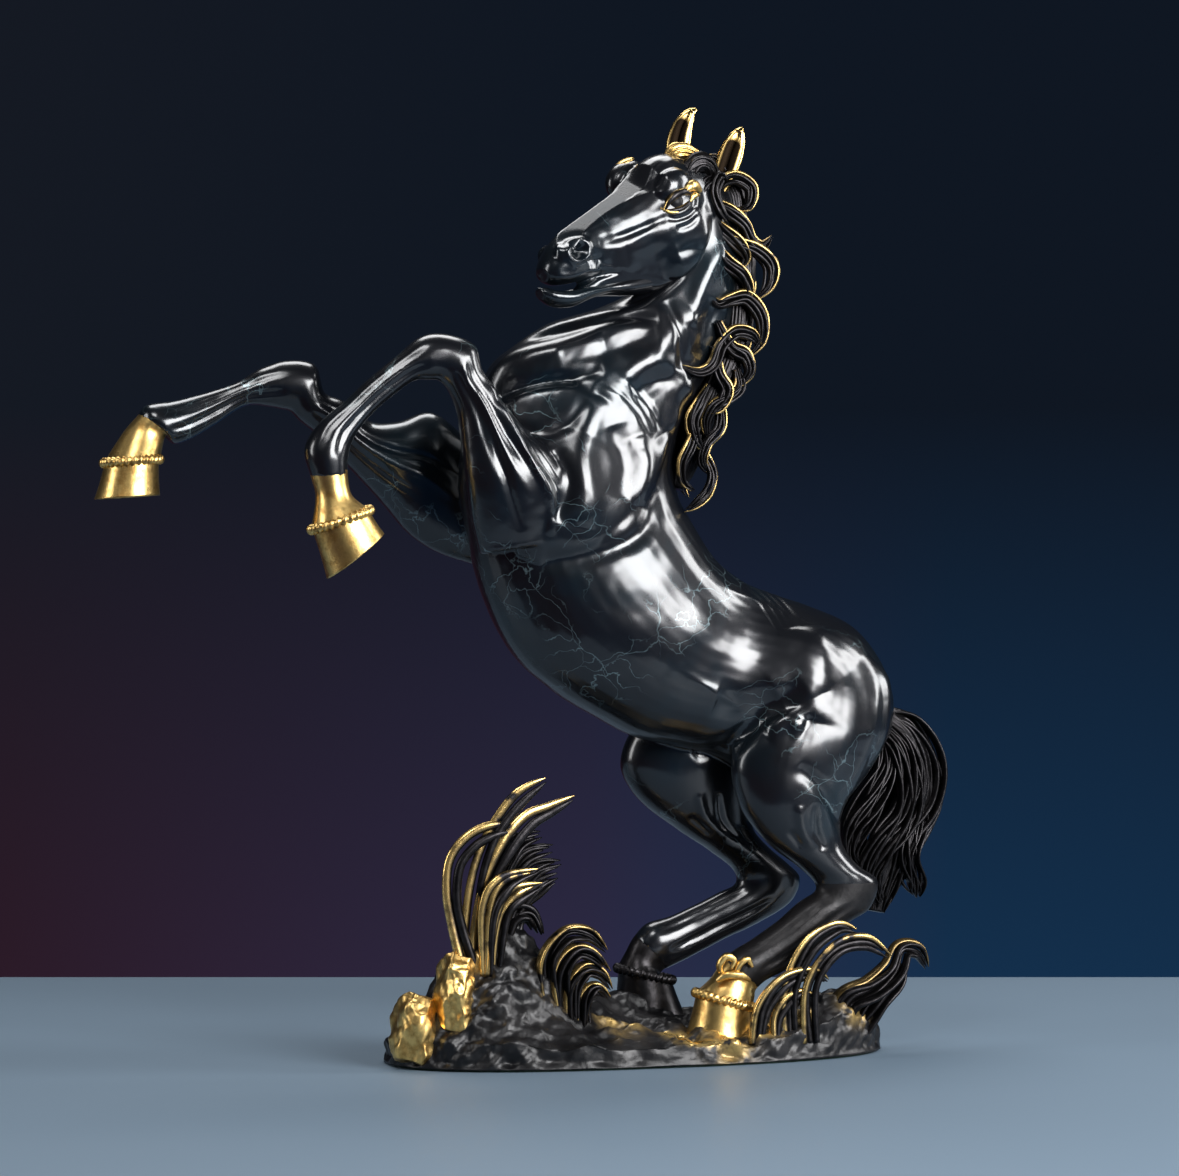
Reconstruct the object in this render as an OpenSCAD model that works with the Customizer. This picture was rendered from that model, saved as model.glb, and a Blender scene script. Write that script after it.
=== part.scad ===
// Rearing horse on a rocky base: a table-top cast bronze, about 430 mm high.
// The horse faces -X and its left side faces -Y. The origin is on the table, under the base.
// Shapes are lofts through hand-chosen sections, and every section is a flat oval ring.

/* [Horse] */
// Greatest width of the trunk across the ribs
trunk_w = 68; // [62:0.5:74]
// Greatest width of the neck casting
neck_w = 59; // [54:0.5:60]
// Width of the head across the brows
head_w = 37; // [33:0.5:41]
// Distance between the middles of the two forelegs, at the knees
fore_track = 55; // [50:0.5:60]
// Distance between the middles of the two hind legs, at the hocks
hind_track = 46; // [42:0.5:50]
// Thickness of the hollow castings' walls
wall = 4; // [3.2:0.1:4.8]
// Turn of the head to the horse's left, in degrees
head_turn = 17; // [12:0.5:22]

/* [Joints between castings] */
// Diameter of the dowels that join the larger castings
dowel_d = 4; // [3:0.1:4.6]
// Length of those dowels
dowel_len = 14; // [10:0.5:16]
// Diameter of the fine pins between the trunk and the neck
pin_d = 1.6; // [1.2:0.1:1.8]
// Length of the fine pins
pin_len = 8; // [6:0.5:9]
// Space round each dowel, pin, stud and screw in its bore
bore_gap = 0.1; // [0.05:0.05:0.2]

/* [Base] */
// Length of the base
base_l = 230; // [224:1:238]
// Depth of the base, front to back
base_w = 96; // [92:0.5:104]
// Thickness of the base casting's walls
base_wall = 5; // [4:0.1:6]
// Thickness of the felt under the base
felt_t = 1; // [0.8:0.1:1.5]
// How far the felt stays inside the base's rim
felt_inset = 2.5; // [2:0.5:3.5]
// Thickness of the cover plate that closes the underside
cover_t = 1.5; // [1:0.1:2]
// Space between the cover plate and the rim
cover_gap = 0.5; // [0.3:0.1:0.8]
// Height of the table-level rock above its underside
ground_h = 12; // [11:0.5:13]

/* [Fastenings under the base] */
// Diameter of the studs that hold the hind hooves
stud_d = 4; // [3:0.1:4.6]
// How deep a stud goes into its hoof
stud_grip = 8; // [6:0.5:9]
// Width of the nuts across their flats
nut_w = 7; // [6.5:0.1:8]
// Thickness of the nuts
nut_t = 3.2; // [2.4:0.1:3.2]
// Diameter of the washers
washer_d = 10; // [9:0.5:12]
// Thickness of the washers
washer_t = 1; // [0.6:0.1:1.2]
// Diameter of the screws that hold the cover plate
screw_d = 3; // [2.5:0.1:3.5]
// Length of those screws under the head
screw_len = 7; // [6:0.5:8]
// Diameter of the screws' flat heads
screw_head_d = 6; // [5:0.1:6.5]
// Diameter of the screws' bosses in the base
boss_d = 10; // [8.5:0.5:12]

/* [Hidden] */

ROUND = 48;
RIM_Z = felt_t;
PLATE_Z = RIM_Z + cover_t;

PATINA = [0.09, 0.10, 0.12];
DARK_BRONZE = [0.16, 0.15, 0.14];
GILT = [0.83, 0.62, 0.25];
ROCK = [0.22, 0.21, 0.20];
STEEL = [0.62, 0.63, 0.65];
FELT = [0.08, 0.16, 0.12];

// ---------- Section tables ----------
// A row is [front x, front z, back x, back z, half width, middle y]: the two ends of a section's
// long axis in the horse's mid plane, its half width across, and where it lies from side to side.
// The tables are drawn for these widths and tracks, and follow the sizes above.

DRAWN_TRUNK_W = 68;
DRAWN_NECK_W = 59;
DRAWN_HEAD_W = 37;
DRAWN_FORE_TRACK = 55;
DRAWN_HIND_TRACK = 46;
TRUNK_K = trunk_w / DRAWN_TRUNK_W;
NECK_K = neck_w / DRAWN_NECK_W;
HEAD_K = head_w / DRAWN_HEAD_W;
FORE_SHIFT = (fore_track - DRAWN_FORE_TRACK) / 2;
HIND_SHIFT = (hind_track - DRAWN_HIND_TRACK) / 2;

TRUNK = [
    [139, 138, 144, 156, 9, 0],
    [122, 121, 142, 166, 24, 0],
    [100, 114, 136, 180, 30, 0],
    [80, 122, 124, 194, 33, 0],
    [62, 134, 106, 202, 33.5, 0],
    [42, 139, 88, 208, 31, 0],
    [20, 144, 72, 214, 31, 0],
    [0, 154, 59, 224, 33, 0],
    [-19, 166, 49, 238, 34, 0],
    [-37, 183, 41, 252, 33, 0],
    [-49, 207, 38, 266, 32, 0],
    [-57, 236, 40, 279, 31, 0],
    [-60, 264, 46, 292, 29.5, 0]];
NECK = [
    [-55, 290, 54, 305, 27, 0],
    [-43, 312, 62, 318, 24, 0],
    [-22, 328, 68, 331, 21, 0],
    [4, 337, 71, 344, 18.5, 0],
    [20, 345, 71, 357, 16.5, -1],
    [29, 354, 69, 370, 15, -2],
    [33, 364, 65, 382, 14, -3],
    [36, 374, 60, 393, 12.5, -4]];
// Folds of skin on the left side of the neck, and the same on the right:
// strands of [x, y, z, half width in the mid plane, half depth across]
NECK_FOLDS = [
    [[-46, -9, 286, 1.5, 1], [-34, -21.3, 290, 5, 3], [-16, -25.6, 294, 5.5, 3],
        [2, -26.5, 297, 5, 3], [18, -22.5, 301, 1.5, 1]],
    [[-45, -2, 309, 1.5, 1], [-34, -11.8, 313, 5, 3], [-18, -18.2, 317, 5.5, 3], [0, -21, 321, 5, 3],
        [18, -18.5, 326, 1.5, 1]],
    [[-12, -7, 327, 1.5, 1], [4, -16.4, 331, 4.5, 2.6], [20, -18.4, 335, 4.5, 2.6],
        [38, -14.5, 342, 1.5, 1]]];
SHOULDER = [
    [-40, 226, -14, 214, 3, -24],
    [-46, 246, 4, 226, 9, -25],
    [-42, 268, 18, 246, 10, -24],
    [-28, 286, 26, 262, 9, -21],
    [-8, 297, 32, 278, 5, -18]];

LEFT_FORE = [
    [-56, 226, 2, 236, 9, -22],
    [-61, 242, -8, 256, 11.5, -25],
    [-64, 257, -22, 268, 12.5, -27],
    [-66, 272, -37, 281, 11.5, -27.5],
    [-68, 287, -48, 294, 10, -27.5],
    [-72, 297, -57, 306, 9, -27.5],
    [-75, 301, -60, 317, 9.5, -27.5],
    [-77, 302, -71, 322, 9, -27.5],
    [-80, 302, -84, 321, 8.5, -27.5],
    [-88, 301, -95, 312, 7, -27.5],
    [-101, 292, -108, 301, 6, -27.5],
    [-110, 283, -119, 291, 6, -27.5],
    [-115, 275, -130, 282, 7, -27.5],
    [-117, 266, -136, 271, 8.5, -27.5],
    [-117, 259, -133, 259, 7.5, -27.5],
    [-115, 251, -131, 250, 7.5, -27.5],
    [-107, 245, -133, 236, 11, -27.5],
    [-101, 235, -126, 215, 12.5, -27.5]];
RIGHT_FORE = [
    [-40, 220, -18, 262, 9, 22],
    [-62, 226, -46, 276, 12, 25],
    [-77, 235, -66, 290, 13, 26],
    [-90, 250, -82, 286, 12.5, 27],
    [-104, 265, -95, 286, 11, 27.5],
    [-118, 279, -107, 295, 9.5, 27.5],
    [-127, 286, -116, 299, 9, 27.5],
    [-131, 290, -120, 311, 9.5, 27.5],
    [-135, 291, -133, 313, 9, 27.5],
    [-141, 292, -145, 309, 8, 27.5],
    [-152, 292, -155, 303, 6.5, 27.5],
    [-165, 284, -169, 298, 6.3, 27.5],
    [-177, 277, -183, 294, 7.2, 27.5],
    [-184, 275, -196, 292, 8.5, 27.5],
    [-186, 279, -200, 287, 7.5, 27.5],
    [-188, 277, -206, 280, 7.5, 27.5],
    [-190, 268, -215, 266, 12, 27.5],
    [-190, 252, -219, 250, 13.5, 27.5]];
LEFT_HIND = [
    [82, 176, 122, 184, 6, -18],
    [70, 160, 136, 170, 14, -19],
    [62, 143, 136, 147, 18, -20],
    [60, 128, 126, 128, 17, -21],
    [64, 114, 114, 114, 15, -22],
    [71, 103, 111, 102, 12.5, -22.5],
    [80, 94, 113, 93, 10.5, -23],
    [91, 86, 120, 85, 9.5, -23],
    [99, 79, 129, 78, 9, -23],
    [100, 74, 125, 66, 9, -23],
    [92, 69, 114, 59, 9.5, -23],
    [80, 60, 101, 48, 9, -23],
    [69, 53, 87, 40, 8.5, -23],
    [60, 48, 76, 35, 9, -23],
    [55, 43, 71, 31, 8.5, -23],
    [50, 36, 70, 27, 9.5, -23],
    [43, 30, 69, 23, 12, -23],
    [39, 12, 68, 8, 13.5, -23]];
RIGHT_HIND = [
    [56, 182, 108, 190, 6, 18],
    [40, 162, 112, 174, 15, 19],
    [26, 146, 108, 152, 17, 20],
    [21, 131, 96, 132, 17, 21],
    [26, 119, 86, 116, 15.5, 22],
    [36, 109, 84, 102, 13, 22.5],
    [49, 100, 91, 92, 11.5, 23],
    [64, 90, 101, 84, 10, 23],
    [76, 81, 108, 76, 9, 23],
    [77, 74, 103, 65, 8.5, 23],
    [68, 70, 87, 56, 7.5, 23],
    [57, 65, 71, 49, 7, 23],
    [45, 60, 58, 43, 7, 23],
    [34, 57, 47, 38, 8.5, 23],
    [28, 51, 42, 36, 8, 23],
    [24, 44, 40, 33, 8.5, 23],
    [20, 37, 46, 31, 11.5, 23],
    [19, 18, 52, 15, 13.5, 23]];
// Where each leg is divided into castings: at the knee or hock, and at the top of the pastern
FORE_SPLIT = [6, 14];
HIND_SPLIT = [8, 14];

// The head lies along its own axis: a row is [distance from the poll, top, distance, underside,
// half width, shift to the side], as in the tables above but in the head's own frame.
POLL = [56, 0, 388];
HEAD_DIP = 27;
SKULL = [
    [8, 8, 8, -16, 11, 0],
    [0, 19, 0, -25, 13, 0],
    [-10, 26.5, -10, -29, 15.5, 0],
    [-20, 29.5, -20, -30, 18.5, 0],
    [-29, 28.5, -29, -29, 18, 0],
    [-38, 25.5, -38, -28, 15.5, 0],
    [-48, 23.3, -48, -26, 13, 0],
    [-58, 22.2, -58, -20, 11, 0],
    [-68, 21, -68, -10, 10, 0],
    [-78, 19.6, -78, -5.5, 10.5, 0],
    [-87, 16, -87, -3.5, 10.5, 0],
    [-94, 11.5, -94, -1, 8, 0],
    [-97, 8.5, -97, 2, 5, 0]];
JAW = [
    [-50, -14, -50, -26, 8, 0],
    [-60, -12, -60, -21, 8, 0],
    [-70, -10.5, -70, -16, 7.5, 0],
    [-80, -8, -80, -13, 7.5, 0],
    [-90, -5, -90, -12, 7.5, 0],
    [-97, -1, -97, -8.5, 6, 0],
    [-100, 0.5, -100, -4, 3.5, 0]];
// The swellings over an eye and a nostril: [along, to the side, up] and half sizes
EYE = [-23, 16, 12];
EYE_SIZE = [7.5, 4, 6];
NOSTRIL = [-86, 8, 9];
NOSTRIL_SIZE = [6, 4.5, 5.5];

// A strand is a list of rows [x, y, z, half width in the mid plane, half depth across].
// Those of the ears, the tuft and the forelock start from the poll.
EAR_LEFT = [
    [2, -9, 5, 4.5, 3.8],
    [6, -9, 15, 5.6, 4],
    [10, -8.5, 24, 4.6, 3],
    [13, -8, 31, 0.8, 0.8]];
EAR_RIGHT = [
    [-11, 8, 13, 4.5, 3.8],
    [-11.5, 8.5, 24, 5.6, 4],
    [-8, 8.5, 34.5, 4.4, 3],
    [-4.5, 8, 42, 0.8, 0.8]];
POLL_TUFT = [
    [-5, -3, 11, 3, 4],
    [-10, -3, 21, 4.5, 6],
    [-18, -4, 22, 4, 5.5],
    [-23, -5, 15, 1.5, 2]];
FORELOCK = [
    [2, -8, 5, 3, 4],
    [-5, -11, 14, 5.5, 5],
    [-13, -13, 12, 5, 4],
    [-19, -15, 5, 1.2, 1.5]];
MANE = [
    [56, 2, 400, 4, 7],
    [65, 0, 391, 7, 11],
    [67, 0, 378, 8, 12],
    [69, 0, 362, 9, 12],
    [69, 0, 345, 9, 12],
    [68, 0, 330, 9, 12],
    [64, 0, 314, 9, 13],
    [57, 0, 299, 8, 13],
    [50, 0, 284, 7, 13],
    [45, 0, 268, 6, 11],
    [41, 0, 256, 3, 6]];
MANE_LOCKS = [
    [[58, -9, 398, 2.5, 3], [69, -9, 394, 3, 3], [72, -10, 386, 3, 3], [69, -11, 379, 2.5, 2.5],
        [75, -11, 374, 1, 1]],
    [[58, -11, 386, 2.5, 3], [66, -12, 380, 3, 3], [73, -12, 371, 3, 3], [81, -11, 372, 1, 1]],
    [[59, -11, 372, 2.5, 3], [70, -13, 367, 3.5, 3], [78, -12, 359, 3, 3], [81, -11, 351, 1, 1]],
    [[59, -12, 356, 2.5, 3], [68, -13, 352, 3, 3], [75, -13, 343, 3, 3], [78, -12, 334, 2.5, 2.5],
        [76, -11, 325, 1, 1]],
    [[41, -18, 311, 1.5, 2], [50, -17, 309, 3, 3], [56, -16, 315, 3, 3], [60, -14, 325, 3, 3],
        [67, -13, 327, 3, 3], [76, -11, 321, 1, 1]],
    [[61, -12, 338, 2.5, 3], [70, -13, 333, 3, 3], [76, -12, 322, 3, 3], [73, -11, 311, 1, 1]],
    [[57, -13, 325, 2.5, 3], [65, -14, 314, 3.5, 3], [69, -13, 303, 3, 3], [66, -12, 295, 1, 1]],
    [[56, -13, 308, 2.5, 3], [62, -14, 299, 3, 3], [57, -14, 290, 3, 3], [53, -13, 281, 2.5, 3],
        [56, -12, 273, 1, 1]],
    [[50, -14, 297, 2.5, 3], [47, -15, 285, 3, 3], [46, -14, 272, 3, 3], [52, -12, 264, 1, 1]],
    [[47, -13, 280, 2.5, 3], [41, -15, 268, 3, 3], [42, -14, 256, 2.5, 3], [46, -11, 249, 1, 1]],
    [[60, 10, 394, 2.5, 3], [70, 11, 384, 3, 3], [76, 11, 372, 3, 3], [81, 10, 366, 1, 1]],
    [[61, 11, 370, 2.5, 3], [73, 12, 361, 3, 3], [80, 11, 350, 2.5, 3], [78, 10, 340, 1, 1]],
    [[60, 12, 345, 2.5, 3], [72, 13, 336, 3, 3], [78, 12, 325, 2.5, 3], [74, 11, 313, 1, 1]],
    [[57, 13, 318, 2.5, 3], [65, 14, 306, 3, 3], [64, 13, 294, 2.5, 3], [57, 12, 284, 1, 1]],
    [[49, 13, 292, 2.5, 3], [48, 14, 276, 3, 3], [46, 13, 262, 2.5, 3], [50, 11, 252, 1, 1]]];
TAIL = [
    [[140, 2, 150, 7, 6], [152, 3, 143, 9, 8], [159, 4, 126, 12, 9.5], [157, 5, 108, 14, 10],
        [147, 5, 92, 13, 10], [141, 5, 76, 10, 9], [137, 4, 60, 7, 7]],
    [[143, 4, 140, 6, 6], [141, 5, 124, 8, 8], [132, 6, 110, 9, 8], [125, 6, 97, 10, 8],
        [132, 6, 80, 9, 7]],
    [[151, 5, 96, 6, 6], [153, 5, 84, 5, 5], [156, 5, 71, 4, 4]]];

// Plants. Their rows are strands too.
TALL_REEDS = [
    [[-60, -16, 44, 3, 3], [-65, -15, 62, 2.6, 2.4], [-67.5, -15, 76, 2.6, 2.4],
        [-66, -15, 90, 2.6, 2.4], [-58, -15, 99.5, 2.6, 2.4], [-47, -15, 104, 2.4, 2.4],
        [-37, -14, 103, 1, 1]],
    [[-60, -14, 44, 3, 3], [-57, -15, 76, 2.4, 2.2], [-52, -15, 95, 2.4, 2.4],
        [-45, -15, 108, 2.6, 2], [-36, -15, 118.5, 2.4, 1.6], [-24, -15, 126, 0.8, 0.8]],
    [[-57, -16, 44, 3, 3], [-53, -16, 74, 2.4, 2.2], [-44, -16, 94, 2.6, 2.2],
        [-33, -15, 107, 2.8, 2], [-22, -14, 112.5, 2.2, 1.6], [-10.5, -14, 118, 0.8, 0.8]]];
REED_FAN = [
    [[-49, -8, 44, 4, 4], [-47, -9, 76, 4, 3], [-38, -9, 96, 4, 3], [-25, -9, 101, 2, 2]],
    [[-47, -8, 44, 4, 4], [-44, -8, 72, 4, 3], [-33, -8, 91, 4, 3], [-19, -8, 95, 2, 2]],
    [[-46, -8, 44, 4, 4], [-40, -6, 68, 4, 3], [-28, -6, 84, 4, 3], [-15, -6, 88, 2, 2]],
    [[-44, -8, 44, 4, 4], [-36, -6, 66, 4, 3], [-26, -6, 77, 4, 3], [-16, -6, 82, 2, 2]],
    [[-44, -8, 44, 5, 4], [-38, -7, 62, 6, 4], [-30, -7, 65, 4, 4], [-25, -7, 56, 3, 3]]];
GILDED_LEAVES = [
    [[-53, -20, 40, 2.5, 2.5], [-52, -21, 68, 3.4, 2.2], [-45, -21, 81, 3.8, 2.2],
        [-29, -20, 86, 1, 1]],
    [[-50, -20, 40, 2.5, 2.5], [-47, -21, 64, 3.4, 2.2], [-40, -21, 75, 3.8, 2.2],
        [-27, -20, 80, 1, 1]]];
CURL_TUFT = [
    [[-21, -16, 20, 4.5, 6], [-25, -17, 44, 4.5, 6], [-17, -17, 57, 4, 5.5], [-6, -17, 57, 3.5, 4.5],
        [3, -17, 49, 1.2, 1.5]],
    [[-17, -17, 18, 4.5, 6], [-19, -18, 39, 4.5, 6], [-12, -18, 49, 4, 5.5], [-4, -18, 48, 3.5, 4.5],
        [4, -18, 40, 1.2, 1.5]],
    [[-13, -17, 17, 4.5, 6], [-13, -18, 33, 4.5, 6], [-7, -18, 41, 4, 5.5], [0, -18, 39, 3, 4],
        [5, -18, 32, 1.2, 1.5]],
    [[-8, -17, 16, 4, 6], [-7, -18, 28, 4, 6], [-2, -18, 33, 3.5, 5], [4, -18, 28, 1.2, 1.5]]];
REAR_LEAVES = [
    [[82, -39, 8, 3, 3], [82, -39, 32, 3, 2.5], [91, -39, 51, 3, 2.2], [104, -38, 59, 2.6, 2],
        [114, -37, 57, 1, 1]],
    [[91, -40, 8, 3, 3], [91, -40, 33, 3, 2.5], [103, -40, 49, 3, 2.2], [118, -39, 52, 2.6, 2],
        [130, -38, 45, 1, 1]],
    [[66, -40, 8, 3, 3], [69, -40, 24, 3, 2.5], [79, -40, 36, 3, 2.2], [92, -39, 39, 2.4, 2],
        [100, -38, 35, 1, 1]],
    [[76, -40, 8, 3, 3], [77, -39, 20, 3, 2.5], [86, -39, 29, 2.6, 2.2], [95, -39, 28, 1, 1]]];
REAR_CURL = [
    [[108, -24, 8, 6, 6], [113, -26, 24, 7, 6], [125, -27, 30, 6, 6], [135, -27, 38, 5, 5],
        [140, -26, 47, 4, 4], [148, -25, 46, 4, 4], [153, -24, 38, 1.5, 1.5]],
    [[116, -22, 8, 6, 6], [127, -23, 22, 6, 6], [137, -23, 32, 5, 5], [141, -23, 42, 2, 2]]];

// The rock is a height over the table: hills of [x, y, height, radius] on a level ground.
BASE_X = 21.5;
HILLS = [
    [-70, -12, 26, 13],
    [-48, -10, 38, 20],
    [-28, 0, 28, 22],
    [6, 14, 13, 24],
    [34, 26, 9, 20],
    [92, 12, 6, 24],
    [118, -6, 8, 20],
    [108, -30, 13, 30]];
ROUGH = 0.9;
// Broken facets: a row is the number of folds to a millimetre, along x and along y
FACETS = [[0.031, 0.012], [-0.017, 0.034], [0.022, -0.027]];
FACET_H = 1.5;
// The same round the edge: folds to a turn, and their greatest depth
EDGE_FOLDS = [17, 28];
EDGE_CHIP = 1.1;
// How far the rock falls towards its edge, as a share of its height, and how suddenly
EDGE_FALL = 0.3;
EDGE_POWER = 8;
PLAN_POWER = 2.5;
GILDED_ROCKS = [
    [[-84, -16, -4, 10, 13], [-85, -16, 14, 10.5, 14], [-84, -16, 28, 9, 12], [-83, -16, 35, 3, 5]],
    [[-67, -20, 12, 7, 11], [-68, -20, 32, 8.5, 12], [-66, -19, 45, 8, 10], [-63, -18, 52, 3, 5]]];

// ---------- Lofts ----------

function unit(v) = v / norm(v);
function slice(v, from, to) = [for (i = [from:to]) v[i]];

// Curve through four rows in turn, at t from the second to the third
function curve(a, b, c, d, t) =
    (2 * b + (c - a) * t + (2 * a - 5 * b + 4 * c - d) * t * t
    + (3 * b - a - 3 * c + d) * t * t * t) / 2;

function fine_rows(rows, steps) =
    let (last = len(rows) - 1)
    [for (i = [0:last - 1]) for (k = [0:steps - 1])
        curve(rows[max(i - 1, 0)], rows[i], rows[i + 1], rows[min(i + 2, last)], k / steps),
    rows[last]];

// The oval ring of a section row
function oval(row, n) =
    [for (i = [0:n - 1]) let (c = cos(360 * i / n), s = sin(360 * i / n))
        [(row[0] + row[2]) / 2 + (row[0] - row[2]) / 2 * c,
        row[5] + row[4] * s,
        (row[1] + row[3]) / 2 + (row[1] - row[3]) / 2 * c]];

// The ring of a strand row, square to the strand
function strand_ring(rows, i, n) =
    let (
        row = rows[i],
        before = rows[max(i - 1, 0)],
        after = rows[min(i + 1, len(rows) - 1)],
        way = unit([after[0] - before[0], after[1] - before[1], after[2] - before[2]]),
        side = unit(cross(way, [0, 1, 0])),
        up = cross(way, side))
    [for (k = [0:n - 1])
        [row[0], row[1], row[2]] + side * row[3] * cos(360 * k / n) + up * row[4] * sin(360 * k / n)];

// A strand's rows measured from the poll
function from_poll(rows) =
    [for (r = rows) [POLL[0] + r[0], POLL[1] + r[1], POLL[2] + r[2], r[3], r[4]]];

// A closed skin over rings of equal length, with flat ends
module skin(rings, turned = false) {
    n = len(rings[0]);
    m = len(rings);
    first = [for (k = [0:n - 1]) k];
    last = [for (k = [0:n - 1]) (m - 1) * n + n - 1 - k];
    sides = [for (i = [0:m - 2]) for (k = [0:n - 1])
        let (a = i * n + k, b = i * n + (k + 1) % n)
        each [[a, a + n, b + n], [a, b + n, b]]];
    faces = concat(sides, [first], [last]);
    polyhedron(
        points = [for (r = rings) each r],
        faces = turned ? [for (f = faces) [for (k = [len(f) - 1:-1:0]) f[k]]] : faces,
        convexity = 6);
}

// Whether a section's ring runs the wrong way round for a loft that goes from the first row on
function runs_back(rows) =
    let (a = rows[0], b = rows[len(rows) - 1], m = rows[floor(len(rows) / 2)],
        dx = m[0] + m[2] - a[0] - a[2], dz = m[1] + m[3] - a[1] - a[3])
    (a[0] - a[2]) * dz - (a[1] - a[3]) * dx < 0;

module loft(rows, n = 20)
    skin([for (r = rows) oval(r, n)], runs_back(rows));

module strand(rows, n = 8, steps = 2) {
    fine = fine_rows(rows, steps);
    skin([for (i = [0:len(fine) - 1]) strand_ring(fine, i, n)]);
}

// Several shapes cast as one piece of metal
module one_casting()
    resize([0, 0, 0]) children();

// Rows made wider, moved sideways or shrunk on all sides
function widened(rows, k) = [for (r = rows) [r[0], r[1], r[2], r[3], r[4] * k, r[5] * k]];
function shifted(rows, by) = [for (r = rows) [r[0], r[1], r[2], r[3], r[4], r[5] + by]];
function mirrored(rows) = [for (r = rows) [r[0], r[1], r[2], r[3], r[4], -r[5]]];
function shrunk(rows, by) =
    [for (r = rows) let (v = [r[0] - r[2], r[1] - r[3]], e = v / norm(v) * by)
        [r[0] - e[0], r[1] - e[1], r[2] + e[0], r[3] + e[1], r[4] - by, r[5]]];

// A row carried on along the horse, square to its section
function moved(r, by) =
    let (e = unit([r[1] - r[3], r[2] - r[0]]) * by)
    [r[0] + e[0], r[1] + e[1], r[2] + e[0], r[3] + e[1], r[4], r[5]];

STEPS = 2;
SPINE = fine_rows(concat(widened(TRUNK, TRUNK_K), widened(NECK, NECK_K)), STEPS);
NECK_RING = (len(TRUNK) - 1) * STEPS;
LEG_STEPS = 2;
LEG_ROWS = len(LEFT_FORE) - 1;
LEGS = [
    fine_rows(shifted(LEFT_FORE, -FORE_SHIFT), LEG_STEPS),
    fine_rows(shifted(RIGHT_FORE, FORE_SHIFT), LEG_STEPS),
    fine_rows(shifted(LEFT_HIND, -HIND_SHIFT), LEG_STEPS),
    fine_rows(shifted(RIGHT_HIND, HIND_SHIFT), LEG_STEPS)];

module shoulders() {
    loft(fine_rows(widened(SHOULDER, TRUNK_K), 2), 14);
    loft(fine_rows(mirrored(widened(SHOULDER, TRUNK_K)), 2), 14);
}

module trunk_outside() {
    loft(slice(SPINE, 0, NECK_RING), 24);
    shoulders();
}

// Trunk and neck without the joint between them
module torso_outside() {
    loft(SPINE, 24);
    shoulders();
}

module neck_outside() {
    loft(slice(SPINE, NECK_RING, len(SPINE) - 1), 24);
    for (side = [-1, 1]) for (fold = NECK_FOLDS)
        strand([for (r = fold) [r[0], side * r[1] * NECK_K, r[2], r[3], r[4]]]);
}

module in_head_frame()
    translate(POLL) rotate([0, -HEAD_DIP, head_turn]) children();

// A rounded swelling on one side of the head
module swelling(middle, size, side)
    translate([middle[0], side * middle[1] * HEAD_K, middle[2]]) scale(size) sphere(1, $fn = 14);

module skull_outside()
    in_head_frame() {
        loft(fine_rows(widened(SKULL, HEAD_K), 2), 20);
        for (side = [-1, 1]) {
            swelling(EYE, EYE_SIZE, side);
            swelling(NOSTRIL, NOSTRIL_SIZE, side);
        }
    }

// ---------- Rock ----------

function rock_height(x, y) =
    ground_h
    + ROUGH * (sin(x * 17 + y * 9) + sin(y * 23 - x * 7))
    + sum([for (h = HILLS) h[2] * exp(-((x - h[0]) ^ 2 + (y - h[1]) ^ 2) / h[3] ^ 2)]);
function sum(v, i = 0) = i < len(v) ? v[i] + sum(v, i + 1) : 0;
function power(v, p) = sign(v) * abs(v) ^ p;
// A triangle wave from 0 to 1
function crease(u) = abs(2 * (u - floor(u)) - 1);
function facet(x, y) = FACET_H * (sum([for (f = FACETS) crease(x * f[0] + y * f[1])]) - len(FACETS) / 2);
function edge_chip(angle) = EDGE_CHIP * sum([for (k = EDGE_FOLDS) 1 - crease(k * angle / 360)]);
function plan_point(angle, inset, share = 1) =
    [BASE_X + (base_l / 2 - inset) * share * power(cos(angle), 2 / PLAN_POWER),
    (base_w / 2 - inset) * share * power(sin(angle), 2 / PLAN_POWER)];

// The rock down to its underside, taken in by a thickness on its sides and top, and with its
// facets or without
module rock_body(inset, foot, n, shares, broken) {
    rings = concat(
        [[for (i = [0:n - 1]) let (p = plan_point(360 * i / n, inset)) [p[0], p[1], foot]]],
        [for (s = shares) [for (i = [0:n - 1])
            let (angle = 360 * i / n,
                p = plan_point(angle, inset + broken * edge_chip(angle), s),
                rise = rock_height(p[0], p[1]) - inset + broken * facet(p[0], p[1]))
            [p[0], p[1], RIM_Z + max(rise * (1 - EDGE_FALL * s ^ EDGE_POWER), 3)]]]);
    skin(rings);
}

module rock_outside()
    rock_body(0, RIM_Z, 72, [1, 0.985, 0.94, 0.88, 0.81, 0.73, 0.64, 0.55, 0.46, 0.37, 0.28, 0.19, 0.1], 1);

module plan_sheet(inset, thickness)
    linear_extrude(thickness) polygon([for (i = [0:71]) plan_point(5 * i, inset)]);

// ---------- Fastenings ----------

// Where two castings of a limb meet, at the ring between them
function ring_middle(r) = [(r[0] + r[2]) / 2, r[5], (r[1] + r[3]) / 2];
function ring_tilt(r) = atan2(r[3] - r[1], r[2] - r[0]);

module across_ring(r)
    translate(ring_middle(r)) rotate([0, -ring_tilt(r), 0]) children();

module pin(d, length)
    cylinder(d = d, h = length, center = true, $fn = ROUND);

module limb_dowels(i, d, length)
    for (row = i < 2 ? FORE_SPLIT : HIND_SPLIT)
        across_ring(LEGS[i][LEG_STEPS * row]) pin(d, length);

// A dowel from each limb's root through the trunk's wall, lying across the horse
ROOTS = [[-50, -17, 252], [-50, 17, 250], [98, -25, 134], [72, 25, 144]];

module root_dowel(i, d, length)
    translate([ROOTS[i][0], ROOTS[i][1] * TRUNK_K, ROOTS[i][2]]) rotate([90, 0, 0]) pin(d, length);

TAIL_ROOT = [139, 2, 150];
TAIL_ROOT_TILT = 62;

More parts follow.
